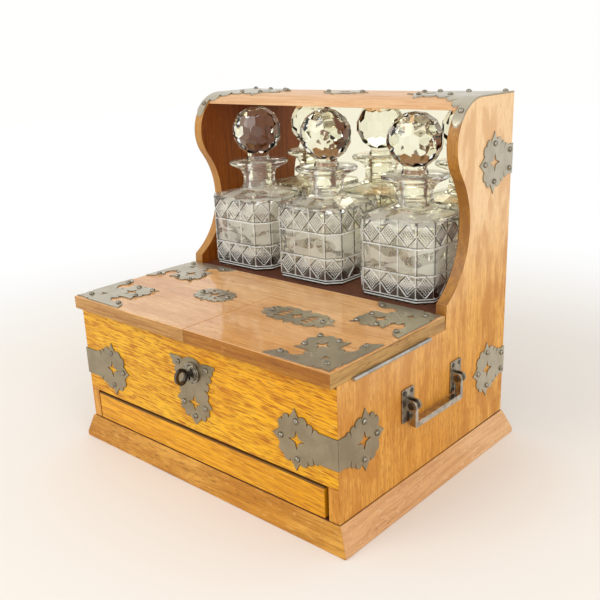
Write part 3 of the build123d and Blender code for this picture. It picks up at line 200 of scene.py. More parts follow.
def makeOak(name, look):
    # oak with growth rings, open pores in short dashes, and pale flecks
    look = oakUsual | look
    material, shader, place = startMaterial(name, {"Specular IOR Level": look["gloss"]})
    height = place.node("ShaderNodeSeparateXYZ", {}, {"Vector": place}, 2)
    along = place.map(move=look["seed"], turn=grainTurns[look["grain"]])
    slant = along.map(turn=[math.radians(look["slant"])] * 3)

    def drawnOut(lengthwise, across, detail, rough):
        # noise stretched along the grain
        across *= look["fine"]
        return slant.map(scale=(lengthwise, across, across)).noise(1.0, detail, rough)

    broad = slant.map(scale=look["ringScale"]).noise(1.0, detail=3.0, rough=0.55, distortion=0.6)
    rings = (broad * look["rings"]).sine() * 0.5 + 0.5
    streaks = drawnOut(look["streakAlong"], look["streakAcross"], detail=3.0, rough=0.6)
    threads = drawnOut(look["thread"], look["threadAcross"], detail=2.0, rough=0.6)
    pores = drawnOut(look["dash"], look["poreAcross"], detail=1.0, rough=0.5)
    poreMask = pores.band(look["poreLow"], look["poreHigh"]) * ((1 - look["clump"]) + look["clump"] * rings)
    flecks = slant.map(turn=look["fleckTurn"], scale=look["fleckScale"]).noise(1.0, detail=1.0, rough=0.4)
    patches = along.noise(look["patchScale"]).band(*look["patchLevels"])
    blotches = along.map(scale=look["stainStretch"]).noise(look["stainScale"], detail=3.0, rough=0.6)
    stains = blotches.band(*look["stainLevels"]) * look["stain"]
    colour = patches.mixColour(look["light"], look["mid"])
    colour = stains.mixColour(colour, look["deep"])
    colour = (streaks.band(*look["streakLevels"]) * look["streaks"]).mixColour(colour, look["deep"])
    colour = (rings * look["ringDepth"]).mixColour(colour, look["deep"])
    colour = (threads.band(*look["threadLevels"]) * look["threads"]).mixColour(colour, look["deep"])
    colour = (flecks.band(*look["fleckLevels"]) * look["flecks"]).mixColour(colour, look["pale"])
    colour = (poreMask * look["pores"]).mixColour(colour, look["pore"])
    if "fade" in look:
        # towards another colour higher up, between the two heights in fade
        rise = (height + look["fadeWander"] * patches).band(*look["fade"]) * look["fadeShare"]
        colour = rise.mixColour(colour, look["faded"])
        worn = (poreMask * look["fadedPores"]).larger(stains * look["fadedStain"])
        colour = worn.mixColour(colour, look["deep"])
    for joint, thick, gone in look["grime"]:
        # soiling along a joint together with painted contact shade, thick close to it and gone a little
        # further off
        darkBand = (height + look["grimeAndShadeWander"] * patches).band(joint + gone, joint + thick) * look["grimeAndShadeShare"]
        colour = darkBand.mixColour(colour, look["grimeAndShadeColour"])
    rough = look["roughness"] + look["poreRough"] * poreMask + look["streakRough"] * (streaks - 0.5)
    feed(shader, Base_Color=colour)
    feed(shader, Roughness=rough.clamp())
    feed(shader, Normal=bumped(streaks * look["streakHeight"] - poreMask, look["bump"], look["bumpHeight"]))
    return material


# what a metal has where its own look below doesn't say
metalUsual = {
    "metallic": 1.0, "cloud": 45, "cloudLevels": (0.35, 0.66), "grit": 900, "gritLevels": (0.5, 0.8),
    "speckle": 0.4, "spread": 0.2, "bump": 0.12, "bumpHeight": 0.0002,
}


def makeMetal(name, look):
    # worn satin or polished metal with cloudy tarnish
    look = metalUsual | look
    material, shader, place = startMaterial(name, {"Metallic": look["metallic"]})
    cloud = place.noise(look["cloud"], detail=4.0, rough=0.6)
    grit = place.noise(look["grit"], detail=2.0, rough=0.6)
    colour = cloud.band(*look["cloudLevels"]).mixColour(look["light"], look["dark"])
    colour = (grit.band(*look["gritLevels"]) * look["speckle"]).mixColour(colour, look["spot"])
    feed(shader, Base_Color=colour)
    feed(shader, Roughness=(look["roughness"] + look["spread"] * (cloud - 0.5)).clamp())
    feed(shader, Normal=bumped(grit + 2 * cloud, look["bump"], look["bumpHeight"]))
    return material


oakLooks = {
    "front": {
        "grain": "x", "seed": (0.31, 0.2, 0.4), "roughness": 0.38, "slant": -3.5,
        "dash": 16, "clump": 0.25, "poreLow": 0.55, "fine": 0.95, "ringDepth": 0.14,
        "light": (0.99, 0.565, 0.018), "mid": (0.95, 0.45, 0.004), "deep": (0.50, 0.145, 0.001),
        "pale": (0.97, 0.66, 0.13), "pore": (0.36, 0.10, 0.002), "pores": 0.85, "streaks": 0.4, "flecks": 0.2,
        "thread": 14, "threads": 0.95, "stain": 0.04,
    },
    "drawer": {
        "grain": "x", "seed": (1.7, 0.6, 0.9), "roughness": 0.38, "slant": -2,
        "dash": 16, "clump": 0.3, "poreLow": 0.55, "fine": 0.95,
        "light": (0.97, 0.52, 0.025), "mid": (0.93, 0.44, 0.01), "deep": (0.58, 0.20, 0.003),
        "pale": (0.96, 0.6, 0.12), "pore": (0.38, 0.115, 0.004), "pores": 0.85, "threads": 0.8,
    },
    "side": {
        "grain": "z", "seed": (0.4, 1.1, 0.2), "roughness": 0.42, "slant": 1,
        "dash": 120, "clump": 0.4, "poreLow": 0.56,
        "light": (0.86, 0.45, 0.09), "mid": (0.77, 0.35, 0.045), "deep": (0.54, 0.20, 0.018),
        "pale": (0.9, 0.58, 0.18), "pore": (0.38, 0.13, 0.015), "pores": 0.75, "ringDepth": 0.14,
        "threads": 0.6, "fade": (0.13, 0.29), "faded": (0.97, 0.70, 0.42), "stain": 0.6,
    },
    "canopy": {
        "grain": "x", "seed": (0.9, 0.1, 0.7), "roughness": 0.38, "slant": 1,
        "light": (0.86, 0.54, 0.29), "mid": (0.80, 0.47, 0.23), "deep": (0.62, 0.30, 0.11),
        "pale": (0.9, 0.62, 0.36), "pore": (0.48, 0.22, 0.08), "pores": 0.4,
    },
    "lid": {
        "grain": "x", "seed": (0.2, 1.9, 0.3), "roughness": 0.08, "slant": 1, "fine": 1.3,
        "light": (0.93, 0.56, 0.255), "mid": (0.82, 0.42, 0.145), "deep": (0.52, 0.20, 0.04),
        "pale": (0.86, 0.53, 0.24), "pore": (0.34, 0.13, 0.025), "pores": 0.6, "gloss": 0.6,
        "streaks": 0.35, "ringDepth": 0.12, "stain": 0.3,
    },
    "lidEdge": {
        "grain": "x", "seed": (0.7, 1.2, 0.9), "roughness": 0.35, "slant": 1,
        "light": (0.55, 0.24, 0.025), "mid": (0.42, 0.16, 0.012), "deep": (0.28, 0.085, 0.008),
        "pale": (0.62, 0.32, 0.08), "pore": (0.14, 0.045, 0.006), "pores": 0.7, "streaks": 0.7,
    },
    "lidEdgePale": {
        "grain": "x", "seed": (1.9, 0.2, 1.4), "roughness": 0.35, "slant": 1,
        "light": (0.68, 0.38, 0.12), "mid": (0.56, 0.29, 0.08), "deep": (0.34, 0.14, 0.03),
        "pale": (0.74, 0.46, 0.2), "pore": (0.18, 0.07, 0.02), "pores": 0.7, "streaks": 0.7,
    },
    "lidEnd": {
        "grain": "y", "seed": (0.7, 1.2, 0.9), "roughness": 0.35, "slant": 1,
        "light": (0.60, 0.35, 0.11), "mid": (0.48, 0.26, 0.07), "deep": (0.28, 0.13, 0.03),
        "pale": (0.66, 0.42, 0.16), "pore": (0.14, 0.05, 0.01), "pores": 0.7, "streaks": 0.7,
    },
    "plinth": {
        "grain": "x", "seed": (2.9, 0.4, 1.3), "roughness": 0.42, "slant": 1,
        "light": (0.84, 0.44, 0.075), "mid": (0.66, 0.29, 0.03), "deep": (0.40, 0.14, 0.01),
        "pale": (0.9, 0.54, 0.17), "pore": (0.24, 0.08, 0.006), "pores": 0.8, "stain": 0.4,
    },
    "plinthSide": {
        "grain": "y", "seed": (1.2, 2.4, 0.8), "roughness": 0.45, "slant": 1,
        "light": (0.86, 0.53, 0.27), "mid": (0.76, 0.42, 0.18), "deep": (0.56, 0.26, 0.10),
        "pale": (0.93, 0.66, 0.42), "pore": (0.36, 0.12, 0.05), "pores": 0.7, "threads": 0.35,
    },
    "inner": {
        "grain": "x", "seed": (3.3, 0.8, 1.1), "roughness": 0.45, "slant": 1,
        "light": (0.17, 0.06, 0.028), "mid": (0.13, 0.042, 0.02), "deep": (0.07, 0.02, 0.01),
        "pale": (0.22, 0.09, 0.045), "pore": (0.04, 0.012, 0.008), "pores": 0.5,
    },
    "sideEdge": {
        "grain": "z", "seed": (1.4, 0.3, 2.2), "roughness": 0.42, "slant": 1,
        "light": (0.66, 0.31, 0.03), "mid": (0.54, 0.22, 0.014), "deep": (0.28, 0.09, 0.006),
        "pale": (0.7, 0.4, 0.1), "pore": (0.12, 0.035, 0.006), "pores": 0.9, "streaks": 0.85, "threads": 0.8,
        "fade": (0.08, 0.2), "faded": (0.52, 0.25, 0.05), "fadeShare": 0.65, "gloss": 0.5, "stain": 0.3,
    },
    "innerSide": {
        "grain": "z", "seed": (2.3, 1.8, 0.1), "roughness": 0.4, "slant": 1,
        "light": (0.36, 0.095, 0.004), "mid": (0.28, 0.062, 0.003), "deep": (0.13, 0.025, 0.002),
        "pale": (0.38, 0.13, 0.02), "pore": (0.06, 0.013, 0.003), "pores": 0.5,
    },
    "back": {
        "grain": "z", "seed": (0.6, 2.8, 1.4), "roughness": 0.6, "slant": 1,
        "light": (0.42, 0.24, 0.11), "mid": (0.35, 0.18, 0.08), "deep": (0.22, 0.1, 0.04),
        "pale": (0.5, 0.32, 0.17), "pore": (0.14, 0.06, 0.03), "pores": 0.5,
    },
}
# the right upright's edge is darker than the left one's
oakLooks["sideEdgeDark"] = oakLooks["sideEdge"] | {
    "light": (0.56, 0.25, 0.02), "mid": (0.44, 0.17, 0.01), "deep": (0.20, 0.065, 0.004),
    "faded": (0.46, 0.21, 0.04), "fadeShare": 0.45, "stain": 0.5,
}
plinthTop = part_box("plinth_front")[1].z
panelLow, panelHigh = (corner.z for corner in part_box("front_panel"))
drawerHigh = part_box("drawer_front")[1].z
# each joint's height, then how far above it, or below it where minus, the dark band is thick and where it is
# gone; above a joint it is soiling with painted contact shade, and below the tops of the front panel and the
# drawer it is painted shade under the lid and in the gap above the drawer
grimeAndShadeLines = {
    "side": ((plinthTop, 0.0004, 0.0022),),
    "front": ((panelLow, 0.0003, 0.0018), (panelHigh, -0.0008, -0.0024)),
    "drawer": ((plinthTop, 0.0004, 0.002), (drawerHigh, -0.0003, -0.0012)),
}
for key, joints in grimeAndShadeLines.items():
    oakLooks[key]["grime"] = joints
oaks = {key: makeOak("oak_" + key, look) for key, look in oakLooks.items()}

metalLooks = {
    "pewter": {
        "light": (0.365, 0.305, 0.205), "dark": (0.29, 0.24, 0.155), "spot": (0.50, 0.435, 0.32),
        "roughness": 0.36, "metallic": 0.9, "bump": 0.12,
    },
    "palePewter": {
        "light": (0.52, 0.47, 0.36), "dark": (0.44, 0.39, 0.29), "spot": (0.64, 0.59, 0.48),
        "roughness": 0.3, "metallic": 0.9, "bump": 0.12,
    },
    # dark rounded plate edges: a painted shade line around each plate
    "pewterEdgeShade": {
        "light": (0.10, 0.09, 0.07), "dark": (0.05, 0.045, 0.035), "spot": (0.2, 0.19, 0.16),
        "roughness": 0.5, "metallic": 0.7, "bump": 0.2,
    },
    "pin": {
        "light": (0.38, 0.34, 0.27), "dark": (0.13, 0.11, 0.08), "spot": (0.66, 0.62, 0.53),
        "roughness": 0.17, "bump": 0.1, "cloud": 400,
    },
    "steel": {
        "light": (0.55, 0.54, 0.50), "dark": (0.36, 0.35, 0.32), "spot": (0.7, 0.69, 0.65),
        "roughness": 0.3, "spread": 0.15,
    },
    "iron": {
        "light": (0.56, 0.51, 0.44), "dark": (0.34, 0.30, 0.25), "spot": (0.66, 0.62, 0.55),
        "roughness": 0.2, "bump": 0.08, "cloud": 160, "speckle": 0.2,
    },
    "plate": {
        "light": (0.40, 0.35, 0.28), "dark": (0.24, 0.205, 0.16), "spot": (0.62, 0.56, 0.47),
        "roughness": 0.32, "bump": 0.2, "cloud": 160,
    },
    "dark": {
        "light": (0.16, 0.145, 0.125), "dark": (0.06, 0.052, 0.045), "spot": (0.34, 0.31, 0.27),
        "roughness": 0.28, "bump": 0.25,
    },
    "brass": {
        "light": (0.62, 0.46, 0.2), "dark": (0.42, 0.29, 0.12), "spot": (0.7, 0.55, 0.28),
        "roughness": 0.35,
    },
}
metals = {key: makeMetal("metal_" + key, look) for key, look in metalLooks.items()}

# the cream of both tones is a painted reflection of a cream room
mirrorLook = {
    "bright": (0.94, 0.905, 0.72), "dull": (0.90, 0.865, 0.66), "haze": 9.0, "hazeLevels": (0.3, 0.75),
    "roughness": 0.02, "spread": 0.03, "roughLevels": (0.45, 0.7),
}


def makeMirror(name, look):
    # silvered glass, a little dull with age; its cream tint is a painted reflection of a cream room
    material, shader, place = startMaterial(name, {"Metallic": 1.0})
    haze = place.noise(look["haze"], detail=4.0, rough=0.6)
    feed(shader, Base_Color=haze.band(*look["hazeLevels"]).mixColour(look["bright"], look["dull"]))
    feed(shader, Roughness=look["roughness"] + look["spread"] * haze.band(*look["roughLevels"]))
    return material


def makeCrystal(name, look):
    # clear lead glass that lets the room's soft light through to what stands behind it
    material, shader, place = startMaterial(name, {
        "Transmission Weight": look["clearness"], "Roughness": look["roughness"], "IOR": look["ior"],
        "Specular IOR Level": look["gloss"]})
    wash = place.noise(look["wash"])
    feed(shader, Base_Color=wash.band(*look["washLevels"]).mixColour(look["clear"], look["tint"]))
    ripples = place.noise(look["ripple"], detail=look["rippleDetail"])
    feed(shader, Normal=bumped(ripples, look["rippleDepth"], look["swell"]))
    tree = material.node_tree
    rays = place.node("ShaderNodeLightPath")
    deep = place.calc("GREATER_THAN", rays.beside("Transmission Depth"), look["deepest"])
    lit = rays.beside("Is Shadow Ray").larger(rays.beside("Is Diffuse Ray")).larger(deep)
    through = place.node("ShaderNodeBsdfTransparent", {}, {"Color": (*look["shade"], 1)})
    surface = (lit * look["share"]).mixShader(Wire(tree, shader.outputs[0]), through)
    if "glint" in look:
        # broad pale patches, the light caught by the far side
        glints = place.map(turn=look["glintTurn"], scale=look["glintStretch"])
        glints = glints.noise(look["glintScale"], detail=1.0, rough=0.4, distortion=0.6)
        white = place.node("ShaderNodeBsdfDiffuse", {}, {"Color": (*look["glintColour"], 1)})
        surface = (glints.band(*look["glintLevels"]) * look["glint"]).mixShader(surface, white)
    tree.links.new(surface.socket, tree.nodes["Material Output"].inputs["Surface"])
    return material


mirrorFinish = makeMirror("mirror_silvered", mirrorLook)
# light that has passed through glass more often than "deepest" goes straight on, as "shade" lets it
crystalUsual = {
    "ior": 1.5, "clearness": 0.96, "roughness": 0.0, "gloss": 0.5,
    "clear": (1, 1, 0.95), "tint": (0.975, 0.985, 0.915), "wash": 30, "washLevels": (0.35, 0.65),
    "ripple": 110, "rippleDetail": 2.0, "rippleDepth": 0.06, "swell": 0.0004,
    "shade": (1, 1, 0.99), "share": 1.0, "deepest": 3.5,
}
crystalLooks = {
    "clear": {},
    # the cuts' flanks: groove and hatch are painted lit, the dark two painted shaded
    "groove": {"clearness": 0.45, "roughness": 0.02, "tint": (0.78, 0.77, 0.72), "wash": 260},
    "hatch": {"clearness": 0.45, "roughness": 0.02},
    "groove_shaded": {"clearness": 1.0, "clear": (0.12, 0.10, 0.075), "tint": (0.07, 0.06, 0.045)},
    "hatch_shaded": {"clearness": 1.0, "clear": (0.26, 0.24, 0.20), "tint": (0.20, 0.18, 0.15)},
    "inside": {
        "clearness": 0.93, "clear": (1, 1, 0.90), "tint": (0.965, 0.975, 0.83),
        "ripple": 38, "rippleDetail": 0.0, "rippleDepth": 0.6, "swell": 0.0015,
        "glint": 0.36, "glintColour": (1, 1, 0.90), "glintTurn": (0.5, 0.3, 0), "glintStretch": (1, 1, 2.2),
        "glintScale": 46, "glintLevels": (0.47, 0.53),
    },
    "ball": {"clearness": 1.0, "rippleDepth": 0.01, "gloss": 0.3},
}
crystals = {key: makeCrystal("crystal_" + key, crystalUsual | look) for key, look in crystalLooks.items()}
print("stage: finishes made")


# how the solids are copied: metres for the weld, degrees for what counts as flat and as a sharp edge
copySettings = {"weld": 2e-6, "flat": 1.0, "sharp": 30}


def addObject(name, data):
    made = bpy.data.objects.new(name, data)
    bpy.context.scene.collection.objects.link(made)
    return made


def sharpen(work, angle):
    # edges between faces that meet at more than this angle stay crisp
    for edge in work.edges:
        edge.smooth = not (len(edge.link_faces) == 2 and edge.calc_face_angle() > math.radians(angle))


def cleanCopy(nodeName):
    # a copy of a solid's mesh with its loose triangles merged into whole faces
    mesh = cad[nodeName].data.copy()
    mesh.materials.clear()
    work = bmesh.new()
    work.from_mesh(mesh)
    bmesh.ops.remove_doubles(work, verts=work.verts, dist=copySettings["weld"])
    flat = math.radians(copySettings["flat"])
    bmesh.ops.dissolve_limit(work, angle_limit=flat, verts=work.verts, edges=work.edges)
    for face in work.faces:
        face.smooth = True
    sharpen(work, copySettings["sharp"])
    work.to_mesh(mesh)
    work.free()
    return addObject(nodeName + "Dressed", mesh)


def applyModifiers(piece):
    # the evaluated shape becomes the piece's own mesh
    bpy.context.view_layer.update()
    shaped = bpy.data.meshes.new_from_object(piece.evaluated_get(bpy.context.evaluated_depsgraph_get()))
    piece.modifiers.clear()
    piece.data = shaped


def roundEdges(piece, width, segments, angle, bevelMaterial):
    bevel = piece.modifiers.new("edges", "BEVEL")
    bevel.width, bevel.segments = width, segments
    bevel.limit_method, bevel.angle_limit = "ANGLE", math.radians(angle)
    bevel.use_clamp_overlap = True
    bevel.material = bevelMaterial
    normals = piece.modifiers.new("normals", "WEIGHTED_NORMAL")
    normals.keep_sharp = True
    applyModifiers(piece)


def standFor(piece, nodeName):
    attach(piece, bodyOf[nodeName])
    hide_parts(nodeName)


def dress(nodeName, materials, width, segments=2, bevelMaterial=-1, angle=35):
    # copy a solid, round its edges, give it its finish
    piece = cleanCopy(nodeName)
    for material in materials:
        piece.data.materials.append(material)
    if width:
        roundEdges(piece, width, segments, angle, bevelMaterial)
    standFor(piece, nodeName)
    return piece


def paint(piece, material, chosen):
    # give the chosen faces of a piece another finish
    piece.data.materials.append(material)
    for face in piece.data.polygons:
        if chosen(face):
            face.material_index = len(piece.data.materials) - 1


# how far a face's normal points inwards, sideways, back, up or endways where its finish changes
normalLevels = {"inner": 0.9, "side": 0.5, "back": 0.8, "top": 0.3, "end": 0.8}

# each board's oak and the radius of its edges
boards = {
    "left_side": ("side", 0.0009), "right_side": ("side", 0.0009), "front_panel": ("front", 0.0008),
    "back_panel": ("back", 0.0004), "canopy": ("canopy", 0.0008), "decanter_floor": ("inner", 0.0006),
    "rear_partition": ("inner", 0.0004), "compartment_floor": ("inner", 0.0003),
    "centre_divider": ("inner", 0.0004), "base_board": ("back", 0.0003), "drawer_runners": ("inner", 0.0003),
    "plinth_front": ("plinth", 0.0007), "plinth_back": ("plinth", 0.0007),
    "plinth_left": ("plinthSide", 0.0007), "plinth_right": ("plinthSide", 0.0007),
    "drawer_front": ("drawer", 0.0005), "drawer_sides": ("inner", 0.0004), "drawer_back": ("inner", 0.0004),
    "drawer_bottom": ("inner", 0.0003), "lid_left": ("lid", 0.0006), "lid_right": ("lid", 0.0006),
}
for nodeName, (oakName, width) in boards.items():
    piece = dress(nodeName, [oaks[oakName]], width)
    if nodeName in ("left_side", "right_side"):
        inward = 1 if nodeName == "left_side" else -1
        edgeName = "sideEdge" if nodeName == "left_side" else "sideEdgeDark"
        # the inner faces are stained dark
        paint(piece, oaks["innerSide"], lambda face: face.normal.x * inward > normalLevels["inner"])
        # above the drawer, the edges that follow the outline are browner than the faces
        paint(piece, oaks[edgeName], lambda face: (
            abs(face.normal.x) < normalLevels["side"] and face.normal.y < normalLevels["back"]
            and face.center.z > panelHigh))
    if nodeName in ("lid_left", "lid_right"):
        # the edges and ends are darker than the polished top
        edgeName = "lidEdgePale" if nodeName == "lid_left" else "lidEdge"
        paint(piece, oaks[edgeName], lambda face: face.normal.z < normalLevels["top"])
        paint(piece, oaks["lidEnd"], lambda face: (
            face.normal.z < normalLevels["top"] and abs(face.normal.x) > normalLevels["end"]))
print("stage: boards dressed")

# each plate's metal; their narrow rounded edges are painted dark, a painted shade line around each plate
plateEdge = {"width": 0.0002, "segments": 1, "bevelMaterial": 1, "angle": 50}
plates = {
    "escutcheon": "pewter", "front_strap_left": "pewter", "front_strap_right": "pewter",
    "rear_straps_left": "palePewter", "rear_straps_right": "palePewter", "canopy_mount_left": "palePewter",
    "canopy_mount_centre": "palePewter", "canopy_mount_right": "palePewter", "lid_mounts_left": "palePewter",
    "lid_mounts_right": "palePewter", "badge_left": "palePewter", "badge_right": "palePewter",
}
for nodeName, metalName in plates.items():
    dress(nodeName, [metals[metalName], metals["pewterEdgeShade"]], **plateEdge)

# each fitting's metal and the radius of its edges
fittings = {
    "keyhole_boss": ("pin", 0.0004), "lock_case": ("brass", 0.0002), "lock_bolt": ("brass", 0.0002),
    "staple_left": ("brass", 0.0002), "staple_right": ("brass", 0.0002),
    "hinge_leaf_case_left": ("steel", 0.0001), "hinge_leaf_case_right": ("steel", 0.0001),
    "hinge_leaf_lid_left": ("steel", 0.0001), "hinge_leaf_lid_right": ("steel", 0.0001),
    "hinge_pins": ("steel", 0.0001), "handle_plates": ("plate", 0.0003),
    "handle_pivot_pins": ("dark", 0.0004), "key": ("dark", 0.0007),
    "bail_left": ("iron", 0.0017), "bail_right": ("iron", 0.0017),
}
for nodeName, (metalName, width) in fittings.items():
    dress(nodeName, [metals[metalName]], width)


def headTree(name, sizes, look, finish):
    # round heads, one on each point of the mesh that carries the tree
    tree = bpy.data.node_groups.new(name, "GeometryNodeTree")
    tree.interface.new_socket("Points", in_out="INPUT", socket_type="NodeSocketGeometry")
    for key, size in sizes.items():
        tree.interface.new_socket(key, in_out="INPUT", socket_type="NodeSocketFloat").default_value = size
    tree.interface.new_socket("Heads", in_out="OUTPUT", socket_type="NodeSocketGeometry")
    wire = Wire(tree)
    points = wire.node("NodeGroupInput")
    radius, height, slot = (points.beside(key) for key in ("radius", "height", "slot"))
    ball = wire.node("GeometryNodeMeshUVSphere", {}, {
        "Segments": look["segments"], "Rings": look["rings"], "Radius": 1.0})
    # the upper half of a ball, drawn to the head's radius and height
    spot = wire.node("ShaderNodeSeparateXYZ", {}, {"Vector": wire.node("GeometryNodeInputPosition")})
    domePlace = wire.node("ShaderNodeCombineXYZ", {}, {
        0: spot.beside(0) * radius, 1: spot.beside(1) * radius, 2: spot.beside(2).larger(0.0) * height})
    head = wire.node("GeometryNodeSetPosition", {}, {"Geometry": ball, "Position": domePlace})
    if sizes["slot"]:
        # a driver's slot across the top
        bar = wire.node("GeometryNodeMeshCube", {}, {"Size": wire.node("ShaderNodeCombineXYZ", {}, {
            0: radius * 3, 1: slot, 2: height})})
        bar = wire.node("GeometryNodeTransform", {}, {
            "Geometry": bar, "Translation": wire.node("ShaderNodeCombineXYZ", {}, {2: height})})
        head = wire.node("GeometryNodeMeshBoolean", {"operation": "DIFFERENCE"}, {
            "Mesh 1": head, "Mesh 2": bar})
    facing = wire.node("GeometryNodeInputNamedAttribute", {"data_type": "FLOAT_VECTOR"}, {"Name": "facing"})
    turn = wire.node("FunctionNodeAlignRotationToVector", {"axis": "Z"}, {"Vector": facing})
    heads = wire.node("GeometryNodeInstanceOnPoints", {}, {
        "Points": points, "Instance": head, "Rotation": turn})
    heads = wire.node("GeometryNodeRealizeInstances", {}, {"Geometry": heads})
    heads = wire.node("GeometryNodeSetMaterial", {}, {"Geometry": heads, "Material": finish})
    taken = tree.nodes.new("NodeGroupOutput")
    tree.links.new(heads.socket, taken.inputs[0])
    return tree


def islands(mesh):
    # each separate solid in a mesh: the middle of its largest face, its upright, its radius and its height
    work = bmesh.new()
    work.from_mesh(mesh)
    left = set(work.faces)
    found = []
    while left:
        group, waiting = set(), [left.pop()]
        while waiting:
            face = waiting.pop()
            group.add(face)
            for edge in face.edges:
                for other in edge.link_faces:
                    if other in left:
                        left.discard(other)
                        waiting.append(other)
        base = max(group, key=lambda face: face.calc_area())
        middle = base.calc_center_median()
        reach = max((vert.co - middle).length for vert in base.verts)
        rise = max((vert.co - middle).dot(-base.normal) for face in group for vert in face.verts)
        found.append((tuple(middle), tuple(-base.normal), reach, rise))
    work.free()
    return sorted(found)


# "wider" and "taller" are shares of the solids' own radius and height
pinLook = {"segments": 18, "rings": 10, "wider": 1.75, "taller": 1.75, "slot": 0.0}
screwLook = {"segments": 18, "rings": 8, "wider": 1.15, "taller": 1.0, "slot": 0.0007}
for nodeName, look, metalName in (
    ("case_pins", pinLook, "pin"), ("lid_pins_left", pinLook, "pin"), ("lid_pins_right", pinLook, "pin"),
    ("case_screws", screwLook, "dark"),
):
    shell = cleanCopy(nodeName)
    found = islands(shell.data)
    bpy.data.objects.remove(shell)
    mesh = bpy.data.meshes.new(nodeName + "Points")
    mesh.from_pydata([middle for middle, axis, reach, rise in found], [], [])
    facing = mesh.attributes.new("facing", "FLOAT_VECTOR", "POINT")
    for index, (middle, axis, reach, rise) in enumerate(found):
        facing.data[index].vector = axis
    piece = addObject(nodeName + "Heads", mesh)
    middle, axis, reach, rise = found[0]
    sizes = {"radius": reach * look["wider"], "height": rise * look["taller"], "slot": look["slot"]}
    tree = headTree(nodeName + "Tree", sizes, look, metals[metalName])
    modifier = piece.modifiers.new("heads", "NODES")
    modifier.node_group = tree
    for socket in tree.interface.items_tree:
        if socket.in_out == "INPUT" and socket.name in sizes:
            modifier[socket.identifier] = sizes[socket.name]
    applyModifiers(piece)
    for polygon in piece.data.polygons:
        polygon.use_smooth = True
    standFor(piece, nodeName)
    print("stage:", nodeName, len(found), "heads, radius mm", round(sizes["radius"] / millimetre, 2))
dress("mirror", [mirrorFinish], 0)
print("stage: metal dressed")


# sizes in millimetres above the decanter's base: "steps" are height, half width and finish, "neck" is height
# and radius, and "hollow" is height, half width and cant
decanterLook = {
    "half": 43.5, "cant": 12.5, "bodyLow": 6.3, "bodyHigh": 79.5,
    # the foot's steps: finish 1 is a ledge painted lit, 3 one painted shaded
    "steps": (
        (5.7, 42.3, 3), (4.9, 43.0, 1), (3.7, 43.0, 3), (3.1, 41.8, 3),
        (2.2, 42.7, 1), (1.0, 42.6, 3), (0, 41.7, 3),
    ),
    "cutLow": 7.0, "cutHigh": 76.5, "bands": ((7.0, 28.4), (54.6, 76.5)), "columns": 3,
    "ringHalf": 1.25, "ringDepth": 1.1, "columnHalf": 1.0, "cornerHalf": 1.25, "columnDepth": 0.8,
    "diagonalRise": 1.2, "diagonalDepth": 0.95, "hatches": 6, "hatchDepth": 0.6, "tipDepth": 0.05,
    "strips": 6, "plainDepth": 0.1, "hatchLean": 0.15, "flankLean": 0.4,
    "shoulderHigh": 84.15, "shoulderHalf": 22.9, "shoulderCant": 13.4, "sharp": 24,
    "neck": (
        (84.5, 23.6), (85.2, 21.8), (86.8, 20.2), (89.6, 18.9), (93.5, 18.1), (98, 17.8),
        (101.5, 18.4), (104.5, 19.8), (107.0, 22.0), (109.0, 25.0), (110.6, 28.4), (111.6, 31.0),
        (112.6, 32.4), (113.8, 33.0), (115.0, 32.9), (116.1, 32.1), (116.6, 30.6),
        (116.6, 12.0), (116.2, 11.3), (115.4, 10.96), (104, 10.5), (93.0, 10.02), (92.2, 10.4), (84, 11.0),
    ),
    "hollow": ((80.6, 14, 6), (78.6, 21, 9), (75.6, 31, 12), (73.4, 35.4, 12.5), (70, 37, 12.5),
               (18, 37, 12.5), (14.4, 35.8, 12.5), (12.4, 32.4, 12), (12, 27, 10)),
}


hair = 1e-4   # two heights nearer than this, in millimetres, are one
near = 1e-3   # how far a point may lie off the edge or field that it belongs to
atEnd = 1e-5   # how near to 0 or 1 a share of a side is for the side's end
farOff = 1000   # added for a side that a point can't lie on


